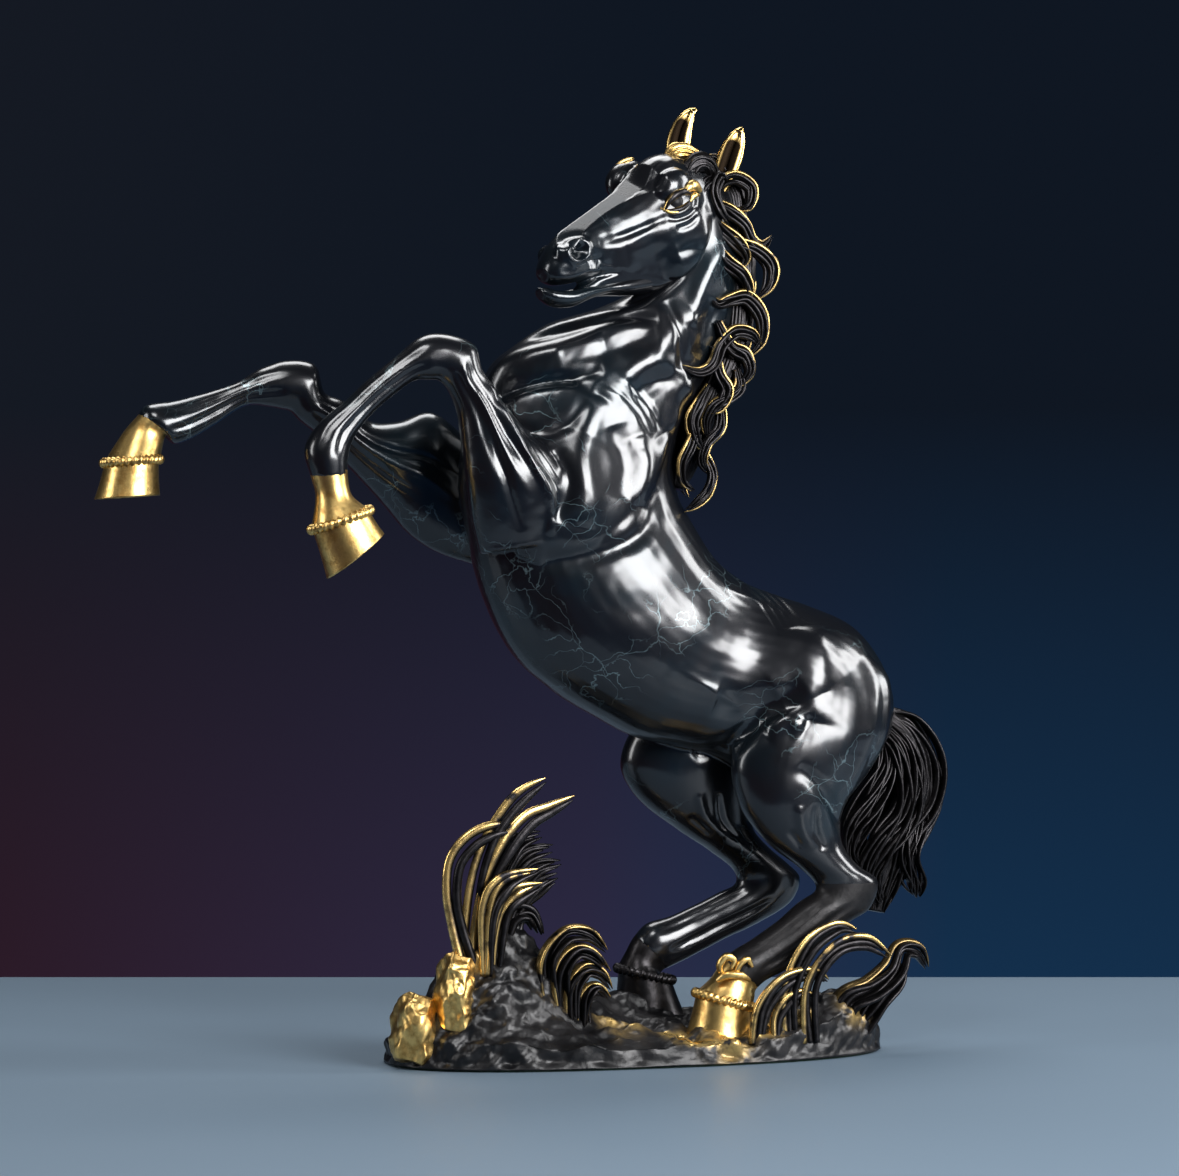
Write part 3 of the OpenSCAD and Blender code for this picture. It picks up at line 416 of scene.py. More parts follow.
def strand(rows: Rows, around: int = 16, steps: int = 8, grooves: int = 0, depth: float = 0.0,
           gilt: float = 0.0, seed: int = 0) -> Shell:
    """A tapering strand of hair or a leaf: ovals carried square to a smooth curve.

    The ring's radius is 1 - depth * |sin(grooves * angle / 2 + a slow turn)|^0.7, which cuts
    grooves that run along the strand.

    Args:
        rows: Rows [x, y, z, half width in the mid plane, half depth across].
        around: The number of points in a ring.
        steps: The number of rings from each row to the next.
        grooves: The number of grooves round the strand.
        depth: The grooves' depth as a share of the radius.
        gilt: The share of the ring, on its crest, that is gilded.
        seed: Turns the grooves.

    Returns:
        The closed strand, with the mark "gilt".
    """
    fine = curve(rows, steps)
    middle = fine[:, :3]
    way = unit(np.gradient(middle, axis=0))
    side = unit(np.cross(way, [0.0, 1.0, 0.0]))
    up = np.cross(way, side)
    a = np.linspace(0, 2 * np.pi, around, endpoint=False)
    turn = np.linspace(0, 0.6, len(fine))[:, None] + seed
    size = 1 - depth * np.abs(np.sin(grooves * a / 2 + turn * grooves / 4)) ** 0.7 if grooves else 1.0
    c, s = np.cos(a) * size, np.sin(a) * size
    c, s = np.broadcast_to(c, (len(fine), around)), np.broadcast_to(s, (len(fine), around))
    rings = (middle[:, None, :] + side[:, None, :] * (c * fine[:, 3:4])[..., None]
             + up[:, None, :] * (s * fine[:, 4:5])[..., None])
    shell = Shell.tube(rings)
    crest = np.clip((np.abs(np.cos(a)) - (1 - gilt)) * 6, 0, 1) if gilt else np.zeros(around)
    marks = np.broadcast_to(crest, (len(fine), around)).ravel()
    shell.marks["gilt"] = np.concatenate([marks, [gilt > 0, gilt > 0]])
    return shell


def lock(rows: Rows, count: int, gilt: float = 0.0, seed: int = 0, around: int = 10, steps: int = 9,
         rim: int = 1, share: float = 0.1, sway: float = 0.13) -> Shell:
    """A lock of hair: fine strands side by side that part and wave a little and meet at the tip.

    Strand i runs at the share u = 0.74 * (2i / (count - 1) - 1) of the lock's half width, moved by
    a small wave along the way, and its radius is 1.3 / count of the half width and 0.12 mm. The
    outermost strand reaches the lock's tip, and the others end up to four rings earlier.

    Args:
        rows: Rows [x, y, z, half width in the mid plane, half depth across].
        count: The number of strands.
        gilt: How much the outer strands are gilded.
        seed: Shifts the waves.
        around: The number of points in a ring.
        steps: The number of rings from each row to the next.
        rim: The side of the outermost strand, 1 or -1.
        share: The share of the strands that is gilded, from the rim inwards.
        sway: The waves' height as a share of the lock's half width.

    Returns:
        The strands as one shell, with the mark "gilt".
    """
    fine = curve(rows, steps)
    middle, n = fine[:, :3], len(fine)
    way = unit(np.gradient(middle, axis=0))
    side = unit(np.cross(way, [0.0, 1.0, 0.0]))
    up = np.cross(way, side)
    t = np.linspace(0, 1, n)
    a = np.linspace(0, 2 * np.pi, around, endpoint=False)
    strands = []
    for i in range(count):
        place = 2 * i / max(count - 1, 1) - 1
        wave = sway * np.sin(2 * np.pi * (1.3 * t + 0.37 * i + 0.61 * seed))
        u = (0.74 * place + wave) * fine[:, 3]
        v = (0.42 * np.cos(2.4 * i + seed) * np.sin(np.pi * t)) * fine[:, 4]
        thick = 1.3 / count * fine[:, 3] + 0.12
        deep = (0.62 + 0.2 * np.cos(1.7 * i + seed)) * fine[:, 4]
        core = middle + side * u[:, None] + up * v[:, None]
        if i != count - 1:
            last = n - (3 * i + seed) % 5
            core, sides, ups, thick, deep = core[:last], side[:last], up[:last], thick[:last], deep[:last]
        else:
            sides, ups = side, up
        fade = np.clip((len(core) - 1 - np.arange(len(core))) / 4, 0.12, 1) ** 0.5
        rings = (core[:, None] + sides[:, None] * (np.cos(a) * (thick * fade)[:, None])[..., None]
                 + ups[:, None] * (np.sin(a) * (deep * fade)[:, None])[..., None])
        shell = Shell.tube(rings)
        edge = gilt * float(place * rim > 0.99 - 2 * share)
        crest = np.clip(0.55 + 0.9 * rim * np.cos(a), 0, 1) * edge
        shell.marks["gilt"] = np.concatenate([np.broadcast_to(crest, (len(core), around)).ravel(), [0, edge]])
        strands.append(shell)
    return Shell.joined(strands)


def head_rotation() -> np.ndarray:
    """The turn from the head's own frame to the horse's: dipped about y, then turned about z."""
    b, c = np.radians(-HEAD_DIP), np.radians(HEAD_TURN)
    dip = np.array([[np.cos(b), 0, np.sin(b)], [0, 1, 0], [-np.sin(b), 0, np.cos(b)]])
    turn = np.array([[np.cos(c), -np.sin(c), 0], [np.sin(c), np.cos(c), 0], [0, 0, 1]])
    return turn @ dip


# ---------- Materials ----------


class Nodes:
    """Short calls for making a material's nodes."""

    def __init__(self, tree: bpy.types.NodeTree) -> None:
        """Takes the tree that the nodes go into."""
        self.tree = tree

    def add(self, kind: str, **settings: object) -> bpy.types.Node:
        """A new node of that kind with its settings and the values of its inputs.

        Args:
            kind: The node's type name.
            settings: Properties of the node, and inputs by number as i0, i1 and so on.

        Returns:
            The node.
        """
        node = self.tree.nodes.new(kind)
        for key, value in settings.items():
            if key[0] == "i" and key[1:].isdigit():
                self.feed(node.inputs[int(key[1:])], value)
            else:
                setattr(node, key, value)
        return node

    def feed(self, socket: bpy.types.NodeSocket, value: object) -> None:
        """Links an output to the socket, or sets the socket's own value."""
        if isinstance(value, bpy.types.NodeSocket):
            self.tree.links.new(value, socket)
        else:
            socket.default_value = value

    def math(self, operation: str, *values: object, clamp: bool = False) -> bpy.types.NodeSocket:
        """The result of a Math node."""
        node = self.add("ShaderNodeMath", operation=operation, use_clamp=clamp)
        for socket, value in zip(node.inputs, values):
            self.feed(socket, value)
        return node.outputs[0]

    def mix(self, factor: object, a: object, b: object) -> bpy.types.NodeSocket:
        """A colour between a and b."""
        node = self.add("ShaderNodeMix", data_type="RGBA")
        for name, value in zip((0, 6, 7), (factor, a, b)):
            self.feed(node.inputs[name], value)
        return node.outputs[2]

    def span(self, value: object, low: float, high: float, first: float = 0.0, last: float = 1.0,
             ) -> bpy.types.NodeSocket:
        """The value brought from low and high to first and last, and held between them."""
        node = self.add("ShaderNodeMapRange", i0=value, i1=low, i2=high, i3=first, i4=last)
        return node.outputs[0]

    def noise(self, where: object, scale: float, detail: float = 4.0, rough: float = 0.5,
              ) -> bpy.types.NodeSocket:
        """The value of a Noise texture."""
        node = self.add("ShaderNodeTexNoise", i0=where)
        node.inputs["Scale"].default_value = scale
        node.inputs["Detail"].default_value = detail
        node.inputs["Roughness"].default_value = rough
        return node.outputs[0]


def rgb(r: float, g: float, b: float) -> tuple[float, float, float, float]:
    """A colour with full alpha."""
    return (r, g, b, 1.0)


def node_group(name: str, inputs: dict[str, float], outputs: list[str]) -> tuple[bpy.types.NodeTree, Nodes]:
    """An empty shader node group with a place input, number inputs and value outputs.

    Args:
        name: The group's name.
        inputs: Names and default values of the number inputs.
        outputs: Names of the outputs; one called Normal is a vector.

    Returns:
        The group and its node maker.
    """
    tree = bpy.data.node_groups.new(name, "ShaderNodeTree")
    tree.interface.new_socket("Place", in_out="INPUT", socket_type="NodeSocketVector")
    for key, value in inputs.items():
        tree.interface.new_socket(key, in_out="INPUT", socket_type="NodeSocketFloat").default_value = value
    for key in outputs:
        kind = "NodeSocketVector" if key == "Normal" else "NodeSocketFloat"
        tree.interface.new_socket(key, in_out="OUTPUT", socket_type=kind)
    return tree, Nodes(tree)


def vein_group() -> bpy.types.NodeTree:
    """Thin branching veins: the seams of warped Voronoi cells, broken up by noise."""
    tree, make = node_group("patina_veins", {"Scale": 30.0, "Width": 0.02, "Amount": 0.5}, ["Veins", "Cloud"])
    inner = make.add("NodeGroupInput")
    out = make.add("NodeGroupOutput")
    warp = make.add("ShaderNodeTexNoise", i0=inner.outputs["Place"])
    warp.inputs["Scale"].default_value = 45.0
    warp.inputs["Detail"].default_value = 5.0
    bent = make.add("ShaderNodeVectorMath", operation="MULTIPLY_ADD", i0=warp.outputs["Color"],
                    i1=(0.03, 0.03, 0.03), i2=inner.outputs["Place"])
    cells = make.add("ShaderNodeTexVoronoi", feature="DISTANCE_TO_EDGE", i0=bent.outputs[0])
    make.feed(cells.inputs["Scale"], inner.outputs["Scale"])
    line = make.add("ShaderNodeMapRange", i0=cells.outputs["Distance"], i1=0.0, i3=1.0, i4=0.0)
    make.feed(line.inputs[2], inner.outputs["Width"])
    broken = make.noise(inner.outputs["Place"], 28.0, 3.0)
    low = make.math("SUBTRACT", 1.0, inner.outputs["Amount"])
    gate = make.math("MULTIPLY", make.math("SUBTRACT", broken, low), 9.0, clamp=True)
    make.feed(out.inputs["Veins"], make.math("MULTIPLY", line.outputs[0], gate))
    cloud = make.noise(inner.outputs["Place"], 16.0, 5.0, 0.6)
    make.feed(out.inputs["Cloud"], make.span(cloud, 0.5, 0.72))
    return tree


def grain_group() -> bpy.types.NodeTree:
    """A fine uneven surface: layered noise as a normal, and the noise itself."""
    tree, make = node_group("cast_grain", {"Scale": 300.0, "Depth": 0.2}, ["Normal", "Grain"])
    inner = make.add("NodeGroupInput")
    out = make.add("NodeGroupOutput")
    texture = make.add("ShaderNodeTexNoise", i0=inner.outputs["Place"])
    make.feed(texture.inputs["Scale"], inner.outputs["Scale"])
    texture.inputs["Detail"].default_value = 6.0
    texture.inputs["Roughness"].default_value = 0.62
    bump = make.add("ShaderNodeBump", i0=inner.outputs["Depth"], i1=0.0006)
    make.feed(bump.inputs["Height"], texture.outputs[0])
    make.feed(out.inputs["Normal"], bump.outputs[0])
    make.feed(out.inputs["Grain"], texture.outputs[0])
    return tree


@dataclass(frozen=True)
class Metal:
    """A plain cast metal finish with grain and darker hollows."""

    name: str
    colour: tuple[float, float, float, float]
    hollow: tuple[float, float, float, float]
    rough: float
    grain: float
    depth: float
    metallic: float = 1.0
    specular: float = 0.5


GOLD = rgb(0.82, 0.56, 0.20)
GOLD_HOLLOW = rgb(0.30, 0.14, 0.03)
EAR_HOLLOW = rgb(0.012, 0.008, 0.005)
VEIN = rgb(0.34, 0.50, 0.54)
DARK_BRONZE = rgb(0.016, 0.015, 0.016)
DARK_HOLLOW = rgb(0.006, 0.006, 0.007)
HOLLOW_ROUGHER = 0.12
CREST_LIGHTER = 2.2


class Finishes:
    """All materials of the statue, made once."""

    def __init__(self) -> None:
        """Makes the shared groups and then each material."""
        self.veins = vein_group()
        self.grain = grain_group()
        self.patina = self.make_patina()
        self.dull = self.make_metal(Metal("dull_patina", DARK_BRONZE, DARK_HOLLOW, 0.33, 160.0, 0.5, 0.6))
        self.gilt = self.make_metal(Metal("gilding", GOLD, GOLD_HOLLOW, 0.27, 220.0, 0.25))
        self.gilt_rock = self.make_metal(Metal("gilded_rock", GOLD, GOLD_HOLLOW, 0.28, 150.0, 0.6))
        self.hair = self.make_edged("dark_hair", DARK_BRONZE, 0.31, 240.0, 0.25)
        self.plants = self.make_edged("dark_plants", rgb(0.014, 0.013, 0.014), 0.33, 240.0, 0.2)
        self.ear = self.make_ear()
        self.eye = self.make_metal(Metal("eye", rgb(0.012, 0.012, 0.014), DARK_HOLLOW, 0.3, 300.0, 0.05, 0.0, 0.12))
        self.rock = self.make_rock()
        self.steel = self.make_metal(Metal("steel", rgb(0.55, 0.56, 0.58), rgb(0.3, 0.3, 0.32), 0.35, 900.0, 0.2))
        self.cover = self.make_metal(Metal("cover", rgb(0.10, 0.10, 0.11), rgb(0.05, 0.05, 0.05), 0.5, 700.0, 0.3))
        self.felt = self.make_metal(Metal("felt", rgb(0.02, 0.05, 0.035), rgb(0.01, 0.02, 0.015),
                                          0.95, 1500.0, 0.9, 0.0))

    def start(self, name: str) -> tuple[bpy.types.Material, Nodes, bpy.types.Node, bpy.types.NodeSocket]:
        """A new material with what its nodes start from.

        Args:
            name: The material's name.

        Returns:
            The material, its node maker, its Principled node and the Object coordinates.
        """
        material = bpy.data.materials.new(name)
        material.use_nodes = True
        make = Nodes(material.node_tree)
        shader = material.node_tree.nodes["Principled BSDF"]
        place = make.add("ShaderNodeTexCoord").outputs["Object"]
        return material, make, shader, place

    def placed(self, make: Nodes, group: bpy.types.NodeTree, place: object, **values: float) -> bpy.types.Node:
        """One of the shared groups in a material.

        Args:
            make: The material's node maker.
            group: The shared group.
            place: The coordinates that it reads.
            values: The group's inputs by name.

        Returns:
            The group's node.
        """
        node = make.add("ShaderNodeGroup", node_tree=group)
        make.feed(node.inputs["Place"], place)
        for key, value in values.items():
            node.inputs[key].default_value = value
        return node

    def make_patina(self) -> bpy.types.Material:
        """Glossy black patina with pale veins and teal clouds under a clear wax."""
        material, make, shader, place = self.start("patina")
        veins = self.placed(make, self.veins, place, Scale=26.0, Width=0.0075, Amount=0.5)
        fine = self.placed(make, self.veins, place, Scale=58.0, Width=0.014, Amount=0.47)
        line = make.math("MAXIMUM", make.math("MULTIPLY", veins.outputs["Veins"], 0.36),
                         make.math("MULTIPLY", fine.outputs["Veins"], 0.3))
        base = make.mix(veins.outputs["Cloud"], rgb(0.008, 0.009, 0.012), rgb(0.005, 0.016, 0.024))
        colour = make.mix(line, base, VEIN)
        make.feed(shader.inputs["Base Color"], colour)
        shader.inputs["Metallic"].default_value = 0.6
        shader.inputs["Roughness"].default_value = 0.30
        shader.inputs["Specular IOR Level"].default_value = 0.15
        shader.inputs["Coat Weight"].default_value = 1.0
        shader.inputs["Coat Roughness"].default_value = 0.19
        shader.inputs["Coat IOR"].default_value = 1.6
        grain = self.placed(make, self.grain, place, Scale=120.0, Depth=0.05)
        make.feed(shader.inputs["Normal"], grain.outputs["Normal"])
        return material

    def make_metal(self, metal: Metal) -> bpy.types.Material:
        """A cast metal, darker and rougher in the hollows of its grain.

        Args:
            metal: The metal's name, colours and grain.

        Returns:
            The material.
        """
        material, make, shader, place = self.start(metal.name)
        grain = self.placed(make, self.grain, place, Scale=metal.grain, Depth=metal.depth)
        hollow = make.span(grain.outputs["Grain"], 0.52, 0.36)
        make.feed(shader.inputs["Base Color"], make.mix(make.math("MULTIPLY", hollow, 0.7), metal.colour, metal.hollow))
        shader.inputs["Metallic"].default_value = metal.metallic
        shader.inputs["Specular IOR Level"].default_value = metal.specular
        rough = make.span(grain.outputs["Grain"], 0.3, 0.7, metal.rough + HOLLOW_ROUGHER, metal.rough)
        make.feed(shader.inputs["Roughness"], rough)
        make.feed(shader.inputs["Normal"], grain.outputs["Normal"])
        return material

    def make_ear(self) -> bpy.types.Material:
        """Gilding that turns dark in the ear's hollow."""
        material, make, shader, place = self.start("ear_gilding")
        grain = self.placed(make, self.grain, place, Scale=220.0, Depth=0.2)
        hollow = make.add("ShaderNodeAttribute", attribute_name="hollow").outputs["Fac"]
        dark = make.span(hollow, 0.25, 0.7)
        make.feed(shader.inputs["Base Color"], make.mix(dark, GOLD, EAR_HOLLOW))
        make.feed(shader.inputs["Roughness"], make.span(dark, 0.0, 1.0, 0.2, 0.55))
        shader.inputs["Metallic"].default_value = 1.0
        make.feed(shader.inputs["Normal"], grain.outputs["Normal"])
        return material

    def make_edged(self, name: str, colour: tuple[float, ...], rough: float, grain: float, depth: float,
                   ) -> bpy.types.Material:
        """Dark bronze whose marked edges are gilded, the gilding worn through in places.

        Args:
            name: The material's name.
            colour: The bronze in its hollows; on its crests it is CREST_LIGHTER times as light.
            rough: The bronze's roughness.
            grain: The scale of the grain.
            depth: The grain's depth.

        Returns:
            The material.
        """
        material, make, shader, place = self.start(name)
        surface = self.placed(make, self.grain, place, Scale=grain, Depth=depth)
        mark = make.add("ShaderNodeAttribute", attribute_name="gilt").outputs["Fac"]
        worn = make.span(make.noise(place, 110.0, 3.0), 0.33, 0.5)
        gold = make.math("MULTIPLY", mark, worn, clamp=True)
        crest = rgb(*(c * CREST_LIGHTER for c in colour[:3]))
        lit = make.mix(make.span(surface.outputs["Grain"], 0.4, 0.65), colour, crest)
        make.feed(shader.inputs["Base Color"], make.mix(gold, lit, GOLD))
        make.feed(shader.inputs["Roughness"], make.span(gold, 0.0, 1.0, rough, 0.24))
        shader.inputs["Metallic"].default_value = 0.9
        make.feed(shader.inputs["Normal"], surface.outputs["Normal"])
        return material

    def make_rock(self) -> bpy.types.Material:
        """Dark brown-grey rock, chipped and uneven, with gilding where it is marked."""
        material, make, shader, place = self.start("rock")
        coarse = self.placed(make, self.grain, place, Scale=110.0, Depth=0.9)
        mark = make.add("ShaderNodeAttribute", attribute_name="gilt").outputs["Fac"]
        worn = make.span(make.noise(place, 160.0, 5.0), 0.38, 0.55)
        gold = make.math("MULTIPLY", mark, worn, clamp=True)
        cloud = make.span(make.noise(place, 35.0, 6.0), 0.42, 0.66)
        stone = make.mix(cloud, rgb(0.005, 0.005, 0.006), rgb(0.024, 0.023, 0.024))
        make.feed(shader.inputs["Base Color"], make.mix(gold, stone, GOLD))
        make.feed(shader.inputs["Metallic"], make.span(gold, 0.0, 1.0, 0.35, 1.0))
        make.feed(shader.inputs["Roughness"], make.span(gold, 0.0, 1.0, 0.36, 0.25))
        make.feed(shader.inputs["Normal"], coarse.outputs["Normal"])
        return material


# ---------- Pieces ----------


def piece(name: str, shell: Shell, material: bpy.types.Material, slot: str, *nodes: str,
          normals: np.ndarray | None = None) -> bpy.types.Object:
    """A finished piece that rides on the horse and stands for CAD nodes.

    Args:
        name: The piece's name.
        shell: Its surface.
        material: Its material.
        slot: A material slot's name; not used.
        nodes: The CAD nodes that it replaces.
        normals: Normals for its points, where they come from a larger skin.

    Returns:
        The object.
    """
    mesh = shell.mesh(name)
    if normals is not None:
        mesh.normals_split_custom_set_from_vertices(normals.tolist())
    obj = bpy.data.objects.new(name, mesh)
    bpy.context.scene.collection.objects.link(obj)
    mesh.materials.append(material)
    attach(obj, "root")
    if nodes:
        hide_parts(*nodes)
    LOG.info("%s: %d points", name, len(shell.points))
    return obj


CASTINGS = ("trunk", "neck", "left_forearm", "left_fore_cannon", "right_forearm", "right_fore_cannon",
            "left_thigh", "left_hind_cannon", "right_thigh", "right_hind_cannon")


@dataclass
class Body:
    """The black horse from croup to neck and down to the pasterns, as one skin cut into castings."""

    pins: np.ndarray
    grain: float = 0.9
    steps: int = 6
    around: int = 48
    plane_reach: float = 4.0
    turned_in: float = 1.5
    unevenness: tuple[tuple[float, float, int], ...] = ((0.5, 24.0, 5), (0.2, 10.0, 6), (0.05, 4.0, 7))

    def shells(self) -> list[Shell]:
        """The lofts of trunk and neck, shoulders and limbs."""
        mirrored = [[*r[:5], -r[5]] for r in SHOULDER]
        limbs = [rows[:PASTERN_ROW] for rows in (LEFT_FORE, RIGHT_FORE, LEFT_HIND, RIGHT_HIND)]
        return [Shell.tube(oval_rings(curve(rows, self.steps), self.around))
                for rows in [TRUNK + NECK, SHOULDER, mirrored] + limbs]

    def ridges(self) -> list[Ridge]:
        """Muscles, tendons and folds of skin."""
        left, right = Side.LEFT, Side.RIGHT
        blade = [
            Ridge(((24, 256), (18, 238), (4, 229), (-16, 223), (-30, 224)), 4.5, -1.8),
            Ridge(((-4, 296), (-9, 281), (-13, 265), (-11, 250), (-14, 238)), 7.0, 2.4),
            Ridge(((3, 283), (8, 266), (5, 250)), 6.0, -1.4),
            Ridge(((15, 279), (19, 264), (14, 248)), 5.5, 1.6),
            Ridge(((-51, 290), (-37, 300), (-20, 304), (-6, 299)), 2.8, -1.1),
            Ridge(((-43, 280), (-28, 279), (-16, 285), (-8, 294)), 3.2, -1.1),
            Ridge(((-24, 272), (-22, 255), (-26, 240)), 4.5, -1.2)]
        wrinkles = [Ridge(shifted(((-3, 303), (7, 297), (15, 289), (21, 278)), 2.9 * i, 1.6 * i), 1.4, -0.6)
                    for i in range(3)]
        neck = [
            Ridge(((-48, 318), (-21, 325), (7, 332), (27, 331)), 3.0, -2.2),
            Ridge(((-54, 303), (-38, 312), (-18, 317), (0, 321)), 5.0, 2.4),
            Ridge(((-3, 336), (16, 340), (30, 347), (39, 353)), 2.4, -1.6),
            Ridge(((-54, 292), (-39, 300), (-18, 304), (0, 308)), 3.2, -2.2),
            Ridge(((22, 314), (38, 305), (46, 294)), 5.0, 1.6),
            Ridge(((30, 340), (36, 325), (38, 308)), 3.0, -1.4),
            Ridge(((-40, 322), (-16, 331), (8, 337)), 3.5, 1.4)]
        neck += [
            Ridge(((44, 334), (30, 322), (14, 308), (0, 294)), 6.5, 1.9),
            Ridge(((52, 318), (33, 306), (12, 297)), 5.5, -2.0),
            Ridge(((26, 324), (5, 317), (-20, 314)), 5.5, -1.4),
            Ridge(((60, 366), (53, 356), (46, 342), (42, 328)), 4.5, 1.9),
            Ridge(((56, 340), (51, 329), (47, 314)), 5.0, -1.6)]
        ribs = [
            Ridge(((72, 206), (64, 185), (51, 164)), 14.0, -2.8),
            Ridge(((98, 194), (98, 174), (92, 152)), 10.0, 3.2),
            Ridge(((119, 180), (124, 160), (118, 134)), 7.0, -1.2)]
        flank = [
            Ridge(((90, 167), (76, 158), (62, 143), (50, 134)), 4.5, -2.2),
            Ridge(((50, 160), (64, 157), (78, 164)), 7.0, -2.4),
            Ridge(((72, 147), (82, 152), (90, 149)), 5.0, 2.4),
            Ridge(((129, 180), (132, 160), (127, 138), (118, 120)), 4.0, -1.4),
            Ridge(((86, 132), (101, 117), (111, 102)), 3.2, -1.3)]
        loin = [Ridge(shifted(((68, 213), (75, 206), (80, 197), (82, 190)), 3.0 * i, 1.2 * i), 1.2, -0.6)
                for i in range(4)]
        limbs = []
        for rows, side, hind in ((LEFT_FORE, left, False), (RIGHT_FORE, right, False),
                                 (LEFT_HIND, left, True), (RIGHT_HIND, right, True)):
            first, upper = (9, 4) if hind else (8, 1)
            limbs += [
                Ridge(along_limb(rows, first, 13, 0.62 if hind else 0.34), 1.6, -1.2, side),
                Ridge(along_limb(rows, first, 13, 0.2 if hind else 0.72), 1.2, -0.5, side),
                Ridge(along_limb(rows, upper + 1, 6, 0.30), 1.6, -1.0, side),
                Ridge(along_limb(rows, upper, 6, 0.62), 1.5, -1.0, side),
                Ridge(along_limb(rows, upper, 6, 0.46), 2.0, 0.9, side)]
        elbow = [
            Ridge(((-60, 312), (-49, 289), (-38, 267), (-28, 250), (-27, 234)), 2.0, 1.8, left),
            Ridge(((-55, 312), (-44, 289), (-33, 268), (-24, 254)), 1.5, -1.2, left),
            Ridge(((-66, 305), (-56, 280), (-47, 254), (-40, 236)), 1.8, -1.4, left)]
        return blade + wrinkles + neck + ribs + flank + loin + limbs + elbow

    def skin(self) -> Shell:
        """The whole black skin, with its muscles."""
        skin = fused(self.shells(), self.grain).smoothed(14)
        skin = carved(skin, self.ridges(), skin.points[:, [0, 2]], skin.points[:, 1]).smoothed(4)
        uneven = sum(height * noise(skin.points, scale, seed) for height, scale, seed in self.unevenness)
        return self.over_pins(Shell(skin.points + skin.normals() * uneven[:, None], skin.quads, skin.tris))

    def over_pins(self, skin: Shell, cover: float = 0.6, spread: float = 5.0, reach: float = 5.0) -> Shell:
        """The skin raised in soft swellings where a pin of the neck joint would come through it.

        A point p with the normal n rises by the greatest of ((v - p) . n + cover) * exp(-(gap / spread)^2)
        over every sixth point v of the pins that is nearer than the reach along n, where the gap is
        measured square to n.

        Args:
            skin: The whole black skin.
            cover: The least height of the skin over a pin, in millimetres.
            spread: The half width of a swelling.
            reach: The distance along the normal up to which a pin's point counts.

        Returns:
            The raised skin.
        """
        low, high = self.pins.min(0) - 3 * spread, self.pins.max(0) + 3 * spread
        near = np.flatnonzero(np.all((skin.points > low) & (skin.points < high), axis=1))
        p, n = skin.points[near], skin.normals()[near]
        rise = np.zeros(len(near))
        for v in self.pins[::6]:
            out = ((v - p) * n).sum(1)
            gap = ((v - p) ** 2).sum(1) - out ** 2
            rise = np.maximum(rise, (out + cover) * np.exp(-gap / spread ** 2) * (np.abs(out) < reach))
        points = skin.points.copy()
        points[near] += n * rise[:, None]
        return Shell(points, skin.quads, skin.tris)

    def nearness(self, places: np.ndarray, rows: Rows) -> tuple[np.ndarray, np.ndarray]:
        """How far inside a loft places are, and how far along it.

        For each section the measure is the square root of (along / half axis)^2 + (across / half
        width)^2 + (off the section's plane / plane_reach)^2, and the least over the sections is taken.

        Args:
            places: Points by 3.
            rows: The loft's section rows.

        Returns:
            The measure, and the number of the nearest row with its share.
        """
        fine = curve(rows, self.steps)
        middle = (fine[:, [0, 1]] + fine[:, [2, 3]]) / 2
        half = (fine[:, [0, 1]] - fine[:, [2, 3]]) / 2
        length = np.linalg.norm(half, axis=1)
        gap = places[:, None, [0, 2]] - middle[None]
        along = np.einsum("nkj,kj->nk", gap, half / length[:, None])
        off = np.einsum("nkj,kj->nk", gap, np.stack([-half[:, 1], half[:, 0]], 1) / length[:, None])
        across = (places[:, 1:2] - fine[None, :, 5]) / fine[None, :, 4]
        far = (along / length) ** 2 + across ** 2 + (off / self.plane_reach) ** 2
        best = far.argmin(1)
        return np.sqrt(far[np.arange(len(places)), best]), best / self.steps

    def labels(self, places: np.ndarray) -> np.ndarray:
        """The casting that each place belongs to.

        Args:
            places: Points by 3.

        Returns:
            The castings' numbers in CASTINGS.
        """
        near, way = self.nearness(places, TRUNK + NECK)
        label = (way > len(TRUNK) - 0.5).astype(int)
        for k, (rows, joint) in enumerate(((LEFT_FORE, 6), (RIGHT_FORE, 6), (LEFT_HIND, 8), (RIGHT_HIND, 8))):
            own, down = self.nearness(places, rows[:PASTERN_ROW])
            mine = (own < near * 0.95) & (down > 0.5)
            label[mine] = 2 + 2 * k + (down[mine] > joint)
            near = np.where(mine, own, near)
        return label

    def cut(self, skin: Shell, faces: np.ndarray) -> tuple[Shell, np.ndarray]:
        """A closed part of the skin: each open edge turns in a little and is closed by a fan.

        Args:
            skin: The whole black skin.
            faces: The faces of the part.

        Returns:
            The part, and normals for its points that are the whole skin's.
        """
        used, corners = np.unique(faces, return_inverse=True)
        quads = corners.reshape(-1, 4)
        a, b = quads.ravel(), np.roll(quads, -1, 1).ravel()
        n = len(used)
        open_edge = ~np.isin(a * n + b, b * n + a)
        a, b = a[open_edge], b[open_edge]
        loop = np.arange(n)
        for _ in range(2 * len(a)):
            low = np.minimum(loop[a], loop[b])
            if np.array_equal(low, loop[a]) and np.array_equal(low, loop[b]):
                break
            np.minimum.at(loop, a, low)
            np.minimum.at(loop, b, low)
        rims, rim = np.unique(loop[a], return_inverse=True)
        points, normals = skin.points[used], skin.normals()[used]
        ring = np.unique(a)
        inner = points[ring] - self.turned_in * normals[ring]
        a1, b1 = n + np.searchsorted(ring, a), n + np.searchsorted(ring, b)
        count = np.bincount(rim)
        middles = np.stack([np.bincount(rim, points[a, i]) / count for i in range(3)], 1)
        shell = Shell(np.vstack([points, inner, middles]), np.vstack([quads, np.stack([b, a, a1, b1], 1)]),
                      np.stack([b1, a1, n + len(ring) + rim], 1))
        inward = np.stack([np.bincount(rim, normals[a, i]) for i in range(3)], 1)
        LOG.info("%d open edges closed by %d fans", len(a), len(rims))
